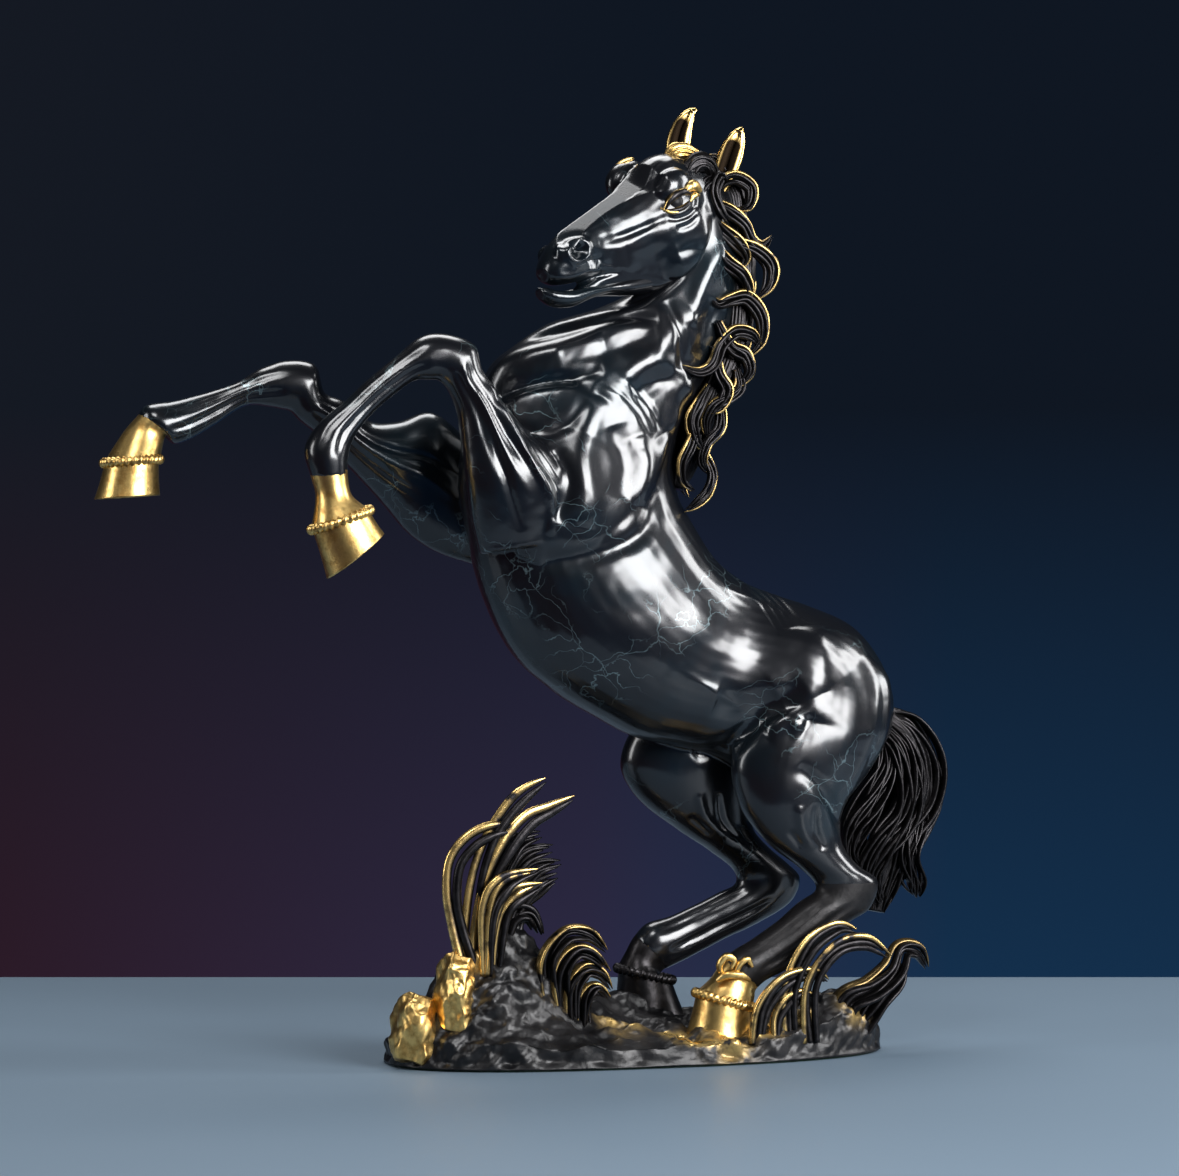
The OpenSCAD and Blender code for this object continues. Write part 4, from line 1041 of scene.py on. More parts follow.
        return shell, np.vstack([normals, normals[ring], unit(inward + 1e-6)])

    def build(self, finishes: Finishes) -> None:
        """Makes the skin and cuts it into its castings."""
        skin = self.skin()
        label = self.labels(skin.points[skin.quads].mean(1))
        for k, name in enumerate(CASTINGS):
            shell, normals = self.cut(skin, skin.quads[label == k])
            finish = finishes.dull if name == "left_hind_cannon" else finishes.patina
            piece(f"{name}_casting", shell, finish, "patina", name, normals=normals)


# Planes of the nasal bone: [across, up, reach, slope, first x, last x].
NASAL_PLANES: Rows = [
    [-0.5, 0.866, 19.7, 0.103, -90, -27], [0.5, 0.866, 19.7, 0.103, -90, -42],
    [-0.97, -0.24, 12.0, 0.17, -78, -36], [0.97, -0.24, 12.0, 0.17, -78, -36]]


@dataclass
class Head:
    """The head with its open mouth, eyes and ears."""

    grain: float = 0.7
    mouth_depth: float = 3.6
    turn: np.ndarray = field(default_factory=head_rotation)

    def placed(self, shell: Shell) -> Shell:
        """A shell moved from the head's own frame to its place on the neck."""
        return Shell(shell.points @ self.turn.T + POLL, shell.quads, shell.tris, shell.marks)

    def swelling(self, middle: tuple[float, float, float], size: tuple[float, float, float]) -> Shell:
        """A rounded swelling: a sphere drawn out to three half sizes, closed at its poles.

        Args:
            middle: Its middle in the head's own frame.
            size: Its half sizes.

        Returns:
            The closed swelling.
        """
        a = np.linspace(0.02, np.pi - 0.02, 16)[:, None]
        b = np.linspace(0, 2 * np.pi, 24, endpoint=False)[None]
        ball = np.stack([np.cos(a) * np.ones_like(b), np.sin(a) * np.cos(b), np.sin(a) * np.sin(b)], -1)
        return Shell.tube(ball * np.array(size) + np.array(middle))

    def build(self, finishes: Finishes) -> None:
        """Makes the skull, the lower jaw, the eyes and the ears."""
        parts = [Shell.tube(oval_rings(curve(SKULL, 6), 36))]
        for side in (-1, 1):
            parts += [
                self.swelling((-24, side * 13.0, 15), (10, 5, 8)),
                self.swelling((-83, side * 7.0, 9.5), (8.5, 4.6, 7.5)),
                self.swelling((-27, side * 9, -13), (18, 6.5, 15))]
        parts.append(Shell.tube(oval_rings(curve(CHEEK, 6), 36)))
        parts.append(self.swelling((-29, 12.5, 22.5), (11.5, 7, 9)))
        skull = fused(parts, self.grain).smoothed(8)
        skull = self.nasal(skull).smoothed(1)
        flat = skull.points[:, [0, 2]] * np.array([-1.0, 1.0])
        skull = carved(skull, self.ridges(), flat, skull.points[:, 1]).smoothed(1)
        dent = 0.35 * noise(skull.points, 9.0, 12) + 0.15 * noise(skull.points, 4.0, 13)
        keep = np.abs(skull.points[:, 1]) > 8
        skull = Shell(skull.points + skull.normals() * (dent * keep)[:, None], skull.quads, skull.tris)
        piece("head_skin", self.placed(skull), finishes.patina, "patina", "head")
        jaw = fused([Shell.tube(oval_rings(curve(LIP, 6), 28))], self.grain).smoothed(4)
        p = jaw.points
        # The floor of the mouth is hollowed between the edges of the lower lip.
        inside = np.exp(-(p[:, 1] / 4.2) ** 4) * np.clip((p[:, 0] + 98) / 4, 0, 1) * np.clip((-58 - p[:, 0]) / 8, 0, 1)
        upper = np.clip(jaw.normals()[:, 2] * 2, 0, 1)
        jaw.points[:, 2] -= self.mouth_depth * inside * upper
        piece("jaw_skin", self.placed(jaw), finishes.patina, "patina", "lower_jaw")
        for side in (Side.LEFT, Side.RIGHT):
            Eye(side).build(self, finishes)
        tip = self.swelling((-26, 13, 30.2), (5.2, 3.6, 1.7))
        piece("far_brow_gilt", self.placed(tip), finishes.gilt, "gilt")
        Ear("left_ear_cup", EAR_LEFT, "left_ear", 1.25).build(finishes)
        Ear("right_ear_cup", EAR_RIGHT, "right_ear", 1.05).build(finishes)

    @staticmethod
    def nasal(skull: Shell) -> Shell:
        """The skull with the flat faces of the nasal bone.

        Each plane cuts off what lies past across * y + up * z = reach + slope * (x + 48): the planes
        meet along the nose and below the eye.

        Args:
            skull: The skull in the head's own frame.

        Returns:
            The skull with its planes.
        """
        p = skull.points.copy()
        for across, up, reach, slope, first, last in NASAL_PLANES:
            hold = np.clip((p[:, 0] - first) / 6, 0, 1) * np.clip((last - p[:, 0]) / 9, 0, 1)
            over = p[:, 1] * across + p[:, 2] * up - reach - slope * (p[:, 0] + 48)
            p -= np.array([0.0, across, up]) * (np.maximum(over, 0) * hold)[:, None]
        return Shell(p, skull.quads, skull.tris)

    def ridges(self) -> list[Ridge]:
        """Folds of the face, in side view from the poll forwards."""
        turn = np.linspace(0, 2 * np.pi, 13)
        rim = tuple((81.0 + 5.6 * float(np.cos(t)), 9.4 + 4.6 * float(np.sin(t))) for t in turn)
        return [
            Ridge(((32, 4.5), (42, 4.6), (56, 5.6), (70, 8.0)), 1.9, -0.8),
            Ridge(((36, -1), (48, -2), (58, -1)), 5.0, 0.7),
            Ridge(rim, 1.5, 1.3, tapered=False),
            Ridge(((79.5, 9.4), (82.5, 9.6)), 3.0, -5.0, tapered=False),
            Ridge(((72, 12), (76, 15), (82, 16), (88, 14)), 1.3, -0.8),
            Ridge(((12, -4), (16, -14), (26, -24), (40, -27)), 3.0, -1.4),
            Ridge(((72, -3.5), (80, -0.5), (88, 0.5), (96, 4)), 1.5, 1.1),
            Ridge(((70, 1), (78, 3), (86, 3.6)), 1.2, -0.8),
            Ridge(((19, 3.0), (24, 1.2), (30, 1.6), (35, 4)), 1.3, -1.0),
            Ridge(((20, -1.0), (26, -2.8), (33, -1.8)), 1.4, -0.8),
            Ridge(((14, 12), (15, 6), (20, 2)), 1.8, -0.9)]


@dataclass
class Eye:
    """One eye between its folded lids, with the gilded corner behind it, in the head's own frame."""

    side: Side
    middle: tuple[float, float, float] = (-27.0, 13.4, 8.5)
    radius: float = 4.7

    def across(self, rows: Rows) -> Rows:
        """The rows with their distance from the mid plane on this eye's side."""
        return [[r[0], r[1] * self.side.value, *r[2:]] for r in rows]

    def build(self, head: "Head", finishes: Finishes) -> None:
        """Makes the eyeball, the lids and the gilded corner."""
        name = self.side.name.lower()
        x, y, z = self.middle
        r = self.radius
        ball = head.swelling((x, y * self.side.value, z), (r, r, r))
        piece(f"{name}_eyeball", head.placed(ball), finishes.eye, "patina")
        lids = [
            [[-35, 15.2, 7.4, 0.5, 0.6], [-31.5, 17.0, 10.6, 1.3, 1.3], [-27, 17.8, 12.0, 1.8, 1.7],
             [-22, 17.4, 11.2, 1.6, 1.5], [-18, 16.4, 8, 0.7, 0.8]],
            [[-35, 15.2, 8, 0.5, 0.6], [-31, 16.6, 6.0, 1.0, 1.1], [-26.5, 17.2, 5.2, 1.3, 1.2],
             [-22, 17.0, 6.0, 1.1, 1.0], [-18, 16.2, 7.6, 0.6, 0.6]]]
        folds = Shell.joined([strand(self.across(rows), 14, 8, gilt=0.3) for rows in lids])
        piece(f"{name}_eyelids", head.placed(folds), finishes.hair, "patina")
        corner = [
            [[-22.5, 17.2, 10.4, 0.8, 0.8], [-18.6, 17.4, 12.0, 2.2, 1.7], [-15.0, 16.4, 11.0, 2.6, 1.7],
             [-12.6, 15.4, 7.4, 0.8, 0.8]],
            [[-21.5, 17.2, 6.0, 0.6, 0.7], [-17.8, 17.2, 7.6, 1.5, 1.3], [-14.8, 16.2, 6.4, 0.6, 0.6]],
            [[-35.6, 14.8, 9.4, 0.4, 0.5], [-33.0, 16.4, 6.2, 0.9, 0.9], [-29.5, 17.6, 4.4, 0.4, 0.5]]]
        gilded = Shell.joined([strand(self.across(rows), 14, 8) for rows in corner])
        piece(f"{name}_eye_corner", head.placed(gilded), finishes.gilt, "gilt")


@dataclass
class Ear:
    """A pricked ear: a leaf-shaped cup, gilded outside and dark in its hollow."""

    name: str
    rows: Rows
    node: str
    open_way: float

    def build(self, finishes: Finishes) -> None:
        """Makes the ear.

        The ring's radius is 1 - press * exp(-((angle - open way) / 0.95)^2), where the press rises
        from the root and falls again to the tip.
        """
        steps, around = 14, 48
        shell = strand(self.rows, around, steps)
        count = (len(self.rows) - 1) * steps + 1
        rings = shell.points[:-2].reshape(count, around, 3)
        middle = rings.mean(1, keepdims=True)
        a = np.linspace(0, 2 * np.pi, around, endpoint=False)
        gap = (a - self.open_way + np.pi) % (2 * np.pi) - np.pi
        rise = np.linspace(0, 1, count)[:, None]
        press = 1.2 * np.clip(np.sin(np.pi * np.clip(rise * 1.08 + 0.08, 0, 1)), 0, 1) ** 0.5
        share = 1 - press * np.exp(-(gap / 0.95) ** 2)
        rings = middle + (rings - middle) * share[..., None]
        cup = Shell.tube(rings)
        dark = np.exp(-(gap / 1.2) ** 6) * np.clip(press * 1.4 - 0.2, 0, 1) * np.clip((0.78 - rise) * 5, 0, 1)
        cup.marks["hollow"] = np.concatenate([dark.ravel(), [0, 0]])
        piece(self.name, cup, finishes.ear, "gilt", self.node)


@dataclass
class Hoof:
    """A pastern and hoof, gilded or dark, with a braided band round the coronet and curls of hair."""

    name: str
    rows: Rows
    node: str
    gilded: bool = True
    curls: tuple[Rows, ...] = ()
    around: int = 64
    lobes: int = 30
    rope: float = 1.5

    def build(self, finishes: Finishes) -> None:
        """Makes the pastern, the hoof wall and its band."""
        rows = np.asarray(self.rows, float)
        pastern = curve(self.rows[13:17], 8)[5:]
        crown, sole = rows[16].copy(), rows[17].copy()
        share = np.array([0.04, 0.1, 0.3, 0.5, 0.7, 0.88, 0.96, 1.0])[:, None]
        wall = crown + (sole - crown) * share
        flare = 0.95 + 0.05 * share ** 3
        middle = (wall[:, [0, 1]] + wall[:, [2, 3]]) / 2
        wall[:, [0, 1]] = middle + (wall[:, [0, 1]] - middle) * flare
        wall[:, [2, 3]] = middle + (wall[:, [2, 3]] - middle) * flare
        wall[:, 4] *= flare[:, 0]
        rings = oval_rings(np.vstack([pastern, wall]), self.around)
        last = rings[-1]
        centre = last.mean(0)
        up = unit(rings[-3].mean(0) - centre)
        under = [centre + (last - centre) * 0.95, centre + (last - centre) * 0.88 + up * 0.8,
                 centre + (last - centre) * 0.4 + up * 1.2]
        hoof = Shell.tube(np.concatenate([rings, np.stack(under)]))
        band = self.band(oval_rings(crown[None], self.around * 3)[0])
        material, slot = (finishes.gilt, "gilt") if self.gilded else (finishes.hair, "dark_hair")
        curls = [strand(rows, 14, 8, 5, 0.2) for rows in self.curls]
        piece(self.name, Shell.joined([hoof, band, *curls]), material, slot, self.node)

    def band(self, ring: np.ndarray) -> Shell:
        """A rope round the coronet: a ring tube of radius rope * (1 + 0.32 sin(lobes * way + angle)).

        Args:
            ring: The points of the coronet.

        Returns:
            The closed rope.
        """
        n, around = len(ring), 12
        way = unit(np.roll(ring, -1, 0) - np.roll(ring, 1, 0))
        out = unit(ring - ring.mean(0))
        up = np.cross(way, out)
        t = np.linspace(0, 2 * np.pi, n, endpoint=False)[:, None]
        a = np.linspace(0, 2 * np.pi, around, endpoint=False)[None]
        r = self.rope * (1 + 0.32 * np.sin(self.lobes * t + a))
        points = (ring[:, None] + out[:, None] * (r * np.cos(a))[..., None]
                  + up[:, None] * (r * np.sin(a) * 1.2)[..., None])
        i, k = np.meshgrid(np.arange(n), np.arange(around), indexing="ij")
        a0, a1 = i * around + k, i * around + (k + 1) % around
        b0, b1 = (i + 1) % n * around + k, (i + 1) % n * around + (k + 1) % around
        shell = Shell(points.reshape(-1, 3), np.stack([a0, a1, b1, b0], -1).reshape(-1, 4))
        return shell.flipped() if shell.volume() < 0 else shell


PASTERN_CURLS: tuple[Rows, ...] = (
    [[53, -31, 38, 1.0, 1.4], [51, -32.5, 43, 1.9, 1.8], [54, -33.5, 47, 2.0, 1.8], [57.5, -33.5, 45, 1.6, 1.6],
     [56, -33.5, 41.5, 0.8, 0.9]],
    [[58, -32.5, 38, 1.0, 1.4], [60, -33.5, 43, 1.8, 1.8], [63.5, -34, 45.5, 1.7, 1.6], [66, -33.5, 42, 0.8, 0.9]],
    [[50, -31, 36, 1.2, 1.4], [54, -33, 38.5, 2.2, 2.0], [60, -34, 38.5, 2.2, 2.0], [65, -33, 36, 1.0, 1.2]])
EAR_LEFT: Rows = [
    [58, -9, 390, 3.6, 3.6], [61.5, -9, 400, 6.0, 4.6], [64.8, -8.6, 409, 6.0, 4], [67.6, -8.2, 415.5, 4.0, 2.8],
    [69.6, -8, 419.5, 0.9, 0.9]]
EAR_RIGHT: Rows = [
    [45, 8, 400, 3.8, 3.6], [44.2, 8.5, 411, 6.2, 4.6], [46, 8.5, 420, 5.6, 4], [49.4, 8.3, 426.4, 3.4, 2.6],
    [53, 8, 429.4, 0.8, 0.8]]
POLL_TUFT: Rows = [[52, -5, 403.5, 1, 1.2], [48, -6, 405.8, 3.6, 4.4], [42, -7, 407.6, 4.8, 5.6], [37, -8, 407, 4.4, 5],
                   [33, -8, 404.5, 1, 1.2]]
FORELOCK: Rows = [[58, -8, 393, 3, 4], [51, -11, 402, 5.5, 5], [43, -13, 400, 5, 4], [37, -15, 393, 1.2, 1.5]]
FORELOCK_CURLS: list[Rows] = [
    [[57, -9, 393, 1.5, 2], [53, -13, 401, 2.4, 2.4], [47, -14.5, 402, 2.6, 2.2], [43, -14.5, 397, 2.2, 2],
     [46, -14.5, 394, 0.7, 0.8]],
    [[60, -10, 392, 1.5, 2], [57, -14, 396, 2.6, 2.4], [54, -16, 389, 2.4, 2.2], [57, -16.5, 381, 2, 2],
     [61, -16, 376, 0.7, 0.8]],
    [[58, -9, 395, 1.5, 2], [52, -14.5, 394, 2.4, 2.2], [48, -16, 388, 2, 2], [50, -16.5, 383, 0.7, 0.8]],
    [[46, -8, 402, 1.5, 2], [40, -11, 402, 2.2, 2.2], [35, -12.5, 396, 2, 2], [31, -12.5, 395, 0.7, 0.8]],
    [[52, -4, 405, 1.2, 1.6], [57, -6, 406, 1.6, 1.6], [61, -8, 402, 1.4, 1.4], [63, -9, 397, 0.6, 0.7]]]
MANE: Rows = [
    [56, 2, 400, 4, 7], [65, 0, 391, 7, 11], [67, 0, 378, 8, 12], [69, 0, 362, 9, 12], [69, 0, 345, 9, 12],
    [68, 0, 330, 9, 12], [64, 0, 314, 9, 13], [57, 0, 299, 8, 13], [50, 0, 284, 7, 13], [45, 0, 268, 6, 11],
    [41, 0, 256, 3, 6]]
MANE_LOCKS: list[Rows] = [
    [[53, -9, 386, 2, 2.5], [57, -11, 393, 3, 3], [65, -12, 396.5, 3.4, 3], [72.5, -12, 392, 3.2, 3],
     [71.5, -12, 384, 2.6, 2.4], [66, -11.5, 382, 0.7, 0.9]],
    [[54, -12, 385, 2, 2.5], [62, -13, 381, 3.2, 3], [69, -13, 375.5, 3.4, 3], [73, -12.5, 368.5, 3, 2.6],
     [78, -12, 366, 2.2, 2], [83, -11, 370.5, 0.6, 0.8]],
    [[53, -13, 378, 2, 2.5], [59, -14, 372, 3, 3], [66, -14, 366, 3.2, 3], [70, -13, 360, 2.4, 2.2],
     [67, -13, 355, 0.7, 0.9]],
    [[56, -12, 371, 2, 2.5], [65, -13, 367, 3.2, 3], [75, -12.5, 364, 3.6, 3], [82, -12, 357, 3.4, 2.8],
     [81, -12, 348, 2.6, 2.4], [75, -12, 341.5, 0.7, 0.9]],
    [[54, -14, 366, 2, 2.5], [60, -15, 358, 3, 3], [68, -14.5, 352, 3.2, 3], [71, -14, 345, 2.4, 2.2],
     [67, -14, 340, 0.7, 0.9]],
    [[52, -14, 344, 1, 1.2], [56, -15, 339, 2.6, 2.6], [62, -15, 341, 3, 2.8], [70, -14, 342, 3.4, 3],
     [77, -13, 334, 3.4, 3], [77.5, -12.5, 323, 2.6, 2.4], [71, -12.5, 315, 0.7, 0.9]],
    [[38, -17.5, 310.5, 0.6, 0.8], [46, -17.5, 308, 2.2, 2.2], [53, -17, 311.5, 2.9, 2.6], [57, -16, 320, 3, 2.8],
     [64, -15, 326.5, 3.2, 2.8], [72, -14, 325.5, 2.8, 2.6], [77, -12.5, 320, 0.7, 0.9]],
    [[56, -14, 331, 2, 2.5], [62, -15, 320, 3, 3], [69, -14.5, 316, 3.4, 3], [71, -14, 308, 3, 2.6],
     [64, -14, 300.5, 0.7, 0.9]],
    [[55, -14, 320, 2, 2.5], [56, -16, 308, 3, 3], [60, -16, 300, 3, 2.8], [56, -16, 292, 2.2, 2.2],
     [50, -16, 290, 0.7, 0.9]],
    [[65.5, -13, 310, 1.5, 2], [66.5, -14, 302, 2.6, 2.4], [61, -15, 297, 3, 2.6], [54, -15.5, 293, 3, 2.6],
     [50, -15, 286, 2.4, 2.2], [51.5, -14.5, 277, 0.7, 0.9]],
    [[52, -14, 302, 2, 2.5], [47, -16, 294, 3, 2.8], [43, -16.5, 286, 2.8, 2.6], [45, -16, 278, 2.4, 2.2],
     [51, -15, 270.5, 0.7, 0.9]],
    [[58, -13, 292, 2, 2.5], [57, -14, 283, 3, 2.8], [51, -15, 276, 2.8, 2.6], [48.5, -15, 268, 2.2, 2.2],
     [53, -14, 261.5, 0.7, 0.9]],
    [[46, -14, 284, 2, 2.5], [42.5, -16, 275, 2.8, 2.6], [38.5, -16, 267, 2.6, 2.4], [39, -15.5, 259, 2.2, 2],
     [45, -14.5, 254.5, 0.7, 0.9]],
    [[49, -13, 273, 2, 2.5], [53.5, -14, 263, 2.8, 2.6], [51.5, -14.5, 254.5, 2.6, 2.4], [45.5, -14.5, 248.5, 2, 2],
     [40, -14, 245.5, 0.7, 0.9]],
    [[60, 10, 394, 2.5, 3], [70, 11, 384, 3, 3], [76, 11, 372, 3, 3], [81, 10, 366, 1, 1]],
    [[61, 11, 370, 2.5, 3], [73, 12, 361, 3, 3], [80, 11, 350, 2.5, 3], [78, 10, 340, 1, 1]],
    [[60, 12, 345, 2.5, 3], [72, 13, 336, 3, 3], [78, 12, 325, 2.5, 3], [74, 11, 313, 1, 1]],
    [[57, 13, 318, 2.5, 3], [65, 14, 306, 3, 3], [64, 13, 294, 2.5, 3], [57, 12, 284, 1, 1]],
    [[49, 13, 292, 2.5, 3], [48, 14, 276, 3, 3], [46, 13, 262, 2.5, 3], [50, 11, 252, 1, 1]]]
TAIL_CORE: list[Rows] = [
    [[138, 2, 152, 8.5, 7.5], [150, 3, 143, 9.5, 8], [157, 4, 126, 10.5, 8.5], [155, 5, 108, 12, 9],
     [146, 5, 92, 11, 9], [140, 5, 76, 8.5, 8], [137, 4, 62, 6, 6]],
    [[143, 4, 140, 5, 5], [140, 5, 124, 7, 7], [132, 6, 110, 8, 7], [126, 6, 97, 9, 7], [132, 6, 82, 8, 6]]]
TAIL: list[Rows] = [
    [[141, 1, 151, 5, 5], [153, 0, 146, 8, 6], [163, 0, 129, 9, 6], [162, 0, 110, 9, 6], [150, -1, 93, 9, 5],
     [143, 0, 76, 7, 5], [139, 0, 62, 4, 4]],
    [[139, -1, 148, 4, 4], [148, -4, 138, 6, 5], [152, -5, 122, 8, 5], [149, -5, 106, 8, 5], [139, -5, 93, 8, 5],
     [133, -4, 79, 6, 4], [138, -3, 66, 2, 2]],
    [[142, 0, 140, 4, 4], [141, -3, 127, 6, 5], [133, -4, 113, 7, 5], [125, -4, 101, 7, 5], [123, -4, 89, 5, 4],
     [129, -4, 82, 1.5, 2]],
    [[158, 0, 108, 4, 4], [154, -3, 97, 6, 5], [152, -4, 86, 6, 5], [155, -3, 75, 5, 4], [157, -2, 68, 1.5, 2]],
    [[141, 8, 149, 5, 5], [153, 10, 140, 8, 6], [161, 11, 124, 9, 6], [158, 12, 105, 9, 6], [146, 11, 88, 8, 5],
     [139, 9, 70, 4, 4]]]


@dataclass
class Hair:
    """Mane, forelock, tuft and tail."""

    mane_gilt: float = 0.9
    outer: tuple[int, ...] = (1, 1, 1, 1, 1, 1, 1, 1, 1, -1, -1, 1, -1, 1)

    def build(self, finishes: Finishes) -> None:
        """Makes the strands of hair."""
        hair = finishes.hair
        mane = [strand(MANE, 96, 8, 34, 0.13)]
        for i, rows in enumerate(MANE_LOCKS):
            mane.append(lock(rows, 5, self.mane_gilt, i, rim=self.outer[i] if i < len(self.outer) else 1))
        piece("mane_locks", Shell.joined(mane), hair, "dark_hair", "mane")
        curls = [lock(rows, 4, 0.5 * (i == 4), i) for i, rows in enumerate(FORELOCK_CURLS)]
        piece("forelock_hair", Shell.joined([strand(FORELOCK, 48, 10, 16, 0.2), *curls]), hair, "dark_hair", "forelock")
        piece("poll_tuft_hair", strand(POLL_TUFT, 72, 12, 15, 0.24), finishes.gilt, "gilt", "poll_tuft")
        piece("tail_hair", Shell.joined([lock(rows, 10, 0.0, i, around=12, sway=0.24) for i, rows in enumerate(TAIL)]
                                        + [strand(rows, 96, 10, 34, 0.12, 0.0, i) for i, rows in enumerate(TAIL_CORE)]),
              hair, "dark_hair", "tail")


TALL_REEDS: list[Rows] = [
    [[-60, -16, 44, 3, 3], [-65, -15, 62, 2.6, 2.4], [-67.5, -15, 76, 2.6, 2.4], [-66, -15, 90, 2.6, 2.4],
     [-58, -15, 99.5, 2.6, 2.4], [-47, -15, 104, 2.4, 2.4], [-37, -14, 103, 1, 1]],
    [[-60, -14, 44, 3, 3], [-57, -15, 76, 2.4, 2.2], [-52, -15, 95, 2.4, 2.4], [-45, -15, 108, 2.6, 2],
     [-36, -15, 118.5, 2.4, 1.6], [-24, -15, 126, 0.8, 0.8]],
    [[-57, -16, 44, 3, 3], [-53, -16, 74, 2.4, 2.2], [-44, -16, 94, 2.6, 2.2], [-33, -15, 107, 2.8, 2],
     [-22, -14, 112.5, 2.2, 1.6], [-10.5, -14, 118, 0.8, 0.8]]]
REED_FAN: list[Rows] = [
    [[-49, -8, 44, 4, 4], [-47, -9, 76, 4, 3], [-38, -9, 96, 4, 3], [-25, -9, 101, 2, 2]],
    [[-47, -8, 44, 4, 4], [-44, -8, 72, 4, 3], [-33, -8, 91, 4, 3], [-19, -8, 95, 2, 2]],
    [[-46, -8, 44, 4, 4], [-40, -6, 68, 4, 3], [-28, -6, 84, 4, 3], [-15, -6, 88, 2, 2]],
    [[-44, -8, 44, 4, 4], [-36, -6, 66, 4, 3], [-26, -6, 77, 4, 3], [-16, -6, 82, 2, 2]],
    [[-44, -8, 44, 5, 4], [-38, -7, 62, 6, 4], [-30, -7, 65, 4, 4], [-25, -7, 56, 3, 3]]]
GILDED_LEAVES: list[Rows] = [
    [[-53, -20, 40, 2.5, 2.5], [-52, -21, 68, 3.4, 2.2], [-45, -21, 81, 3.8, 2.2], [-29, -20, 86, 1, 1]],
    [[-50, -20, 40, 2.5, 2.5], [-47, -21, 64, 3.4, 2.2], [-40, -21, 75, 3.8, 2.2], [-27, -20, 80, 1, 1]]]
CURL_TUFT: list[Rows] = [
    [[-21, -16, 20, 4.5, 6], [-25, -17, 44, 4.5, 6], [-17, -17, 57, 4, 5.5], [-6, -17, 57, 3.5, 4.5],
     [3, -17, 49, 1.2, 1.5]],
    [[-17, -17, 18, 4.5, 6], [-19, -18, 39, 4.5, 6], [-12, -18, 49, 4, 5.5], [-4, -18, 48, 3.5, 4.5],
     [4, -18, 40, 1.2, 1.5]],
    [[-13, -17, 17, 4.5, 6], [-13, -18, 33, 4.5, 6], [-7, -18, 41, 4, 5.5], [0, -18, 39, 3, 4],
     [5, -18, 32, 1.2, 1.5]],
    [[-8, -17, 16, 4, 6], [-7, -18, 28, 4, 6], [-2, -18, 33, 3.5, 5], [4, -18, 28, 1.2, 1.5]]]
REAR_LEAVES: list[Rows] = [
    [[82, -39, 8, 3, 3], [82, -39, 32, 3, 2.5], [91, -39, 51, 3, 2.2], [104, -38, 59, 2.6, 2], [114, -37, 57, 1, 1]],
    [[91, -40, 8, 3, 3], [91, -40, 33, 3, 2.5], [103, -40, 49, 3, 2.2], [118, -39, 52, 2.6, 2], [130, -38, 45, 1, 1]],
    [[66, -40, 8, 3, 3], [69, -40, 24, 3, 2.5], [79, -40, 36, 3, 2.2], [92, -39, 39, 2.4, 2], [100, -38, 35, 1, 1]],
    [[76, -40, 8, 3, 3], [77, -39, 20, 3, 2.5], [86, -39, 29, 2.6, 2.2], [95, -39, 28, 1, 1]]]
REAR_CURL: list[Rows] = [
    [[108, -24, 8, 6, 6], [113, -26, 24, 7, 6], [125, -27, 30, 6, 6], [135, -27, 38, 5, 5], [140, -26, 47, 4, 4],
     [148, -25, 46, 4, 4], [153, -24, 38, 1.5, 1.5]],
    [[116, -22, 8, 6, 6], [127, -23, 22, 6, 6], [137, -23, 32, 5, 5], [141, -23, 42, 2, 2]]]


@dataclass
class Plants:
    """Reeds, leaves and curled tufts on the rock."""

    def build(self, finishes: Finishes) -> None:
        """Makes each plant."""
        dark = finishes.plants
        # Each row is: piece, table, slot, node, strands in a blade, gilding, gilded share, widening.
        sets = (
            ("tall_reed_blades", TALL_REEDS, "gilt_plants", "tall_reeds", 2, 1.0, 0.6, 1.2),
            ("reed_fan_blades", REED_FAN, "dark_plants", "reed_fan", 4, 0.0, 0.0, 1.0),
            ("gilded_leaf_blades", GILDED_LEAVES, "gilt_plants", "gilded_leaves", 3, 1.0, 0.6, 1.1),
            ("curl_tuft_blades", CURL_TUFT, "dark_plants", "curl_tuft", 4, 0.9, 0.3, 0.9),
            ("rear_leaf_blades", REAR_LEAVES, "gilt_plants", "rear_leaves", 3, 0.9, 0.3, 1.15),
            ("rear_curl_strands", REAR_CURL, "dark_plants", "rear_curl", 5, 0.4, 0.1, 1.0))
        for name, table, slot, node, count, gilt, share, widen in sets:
            blades = [lock([[*r[:3], r[3] * widen, r[4]] for r in rows], count, gilt, i, 12, 10, 1, share)
                      for i, rows in enumerate(table)]
            piece(name, Shell.joined(blades), dark, slot, node)


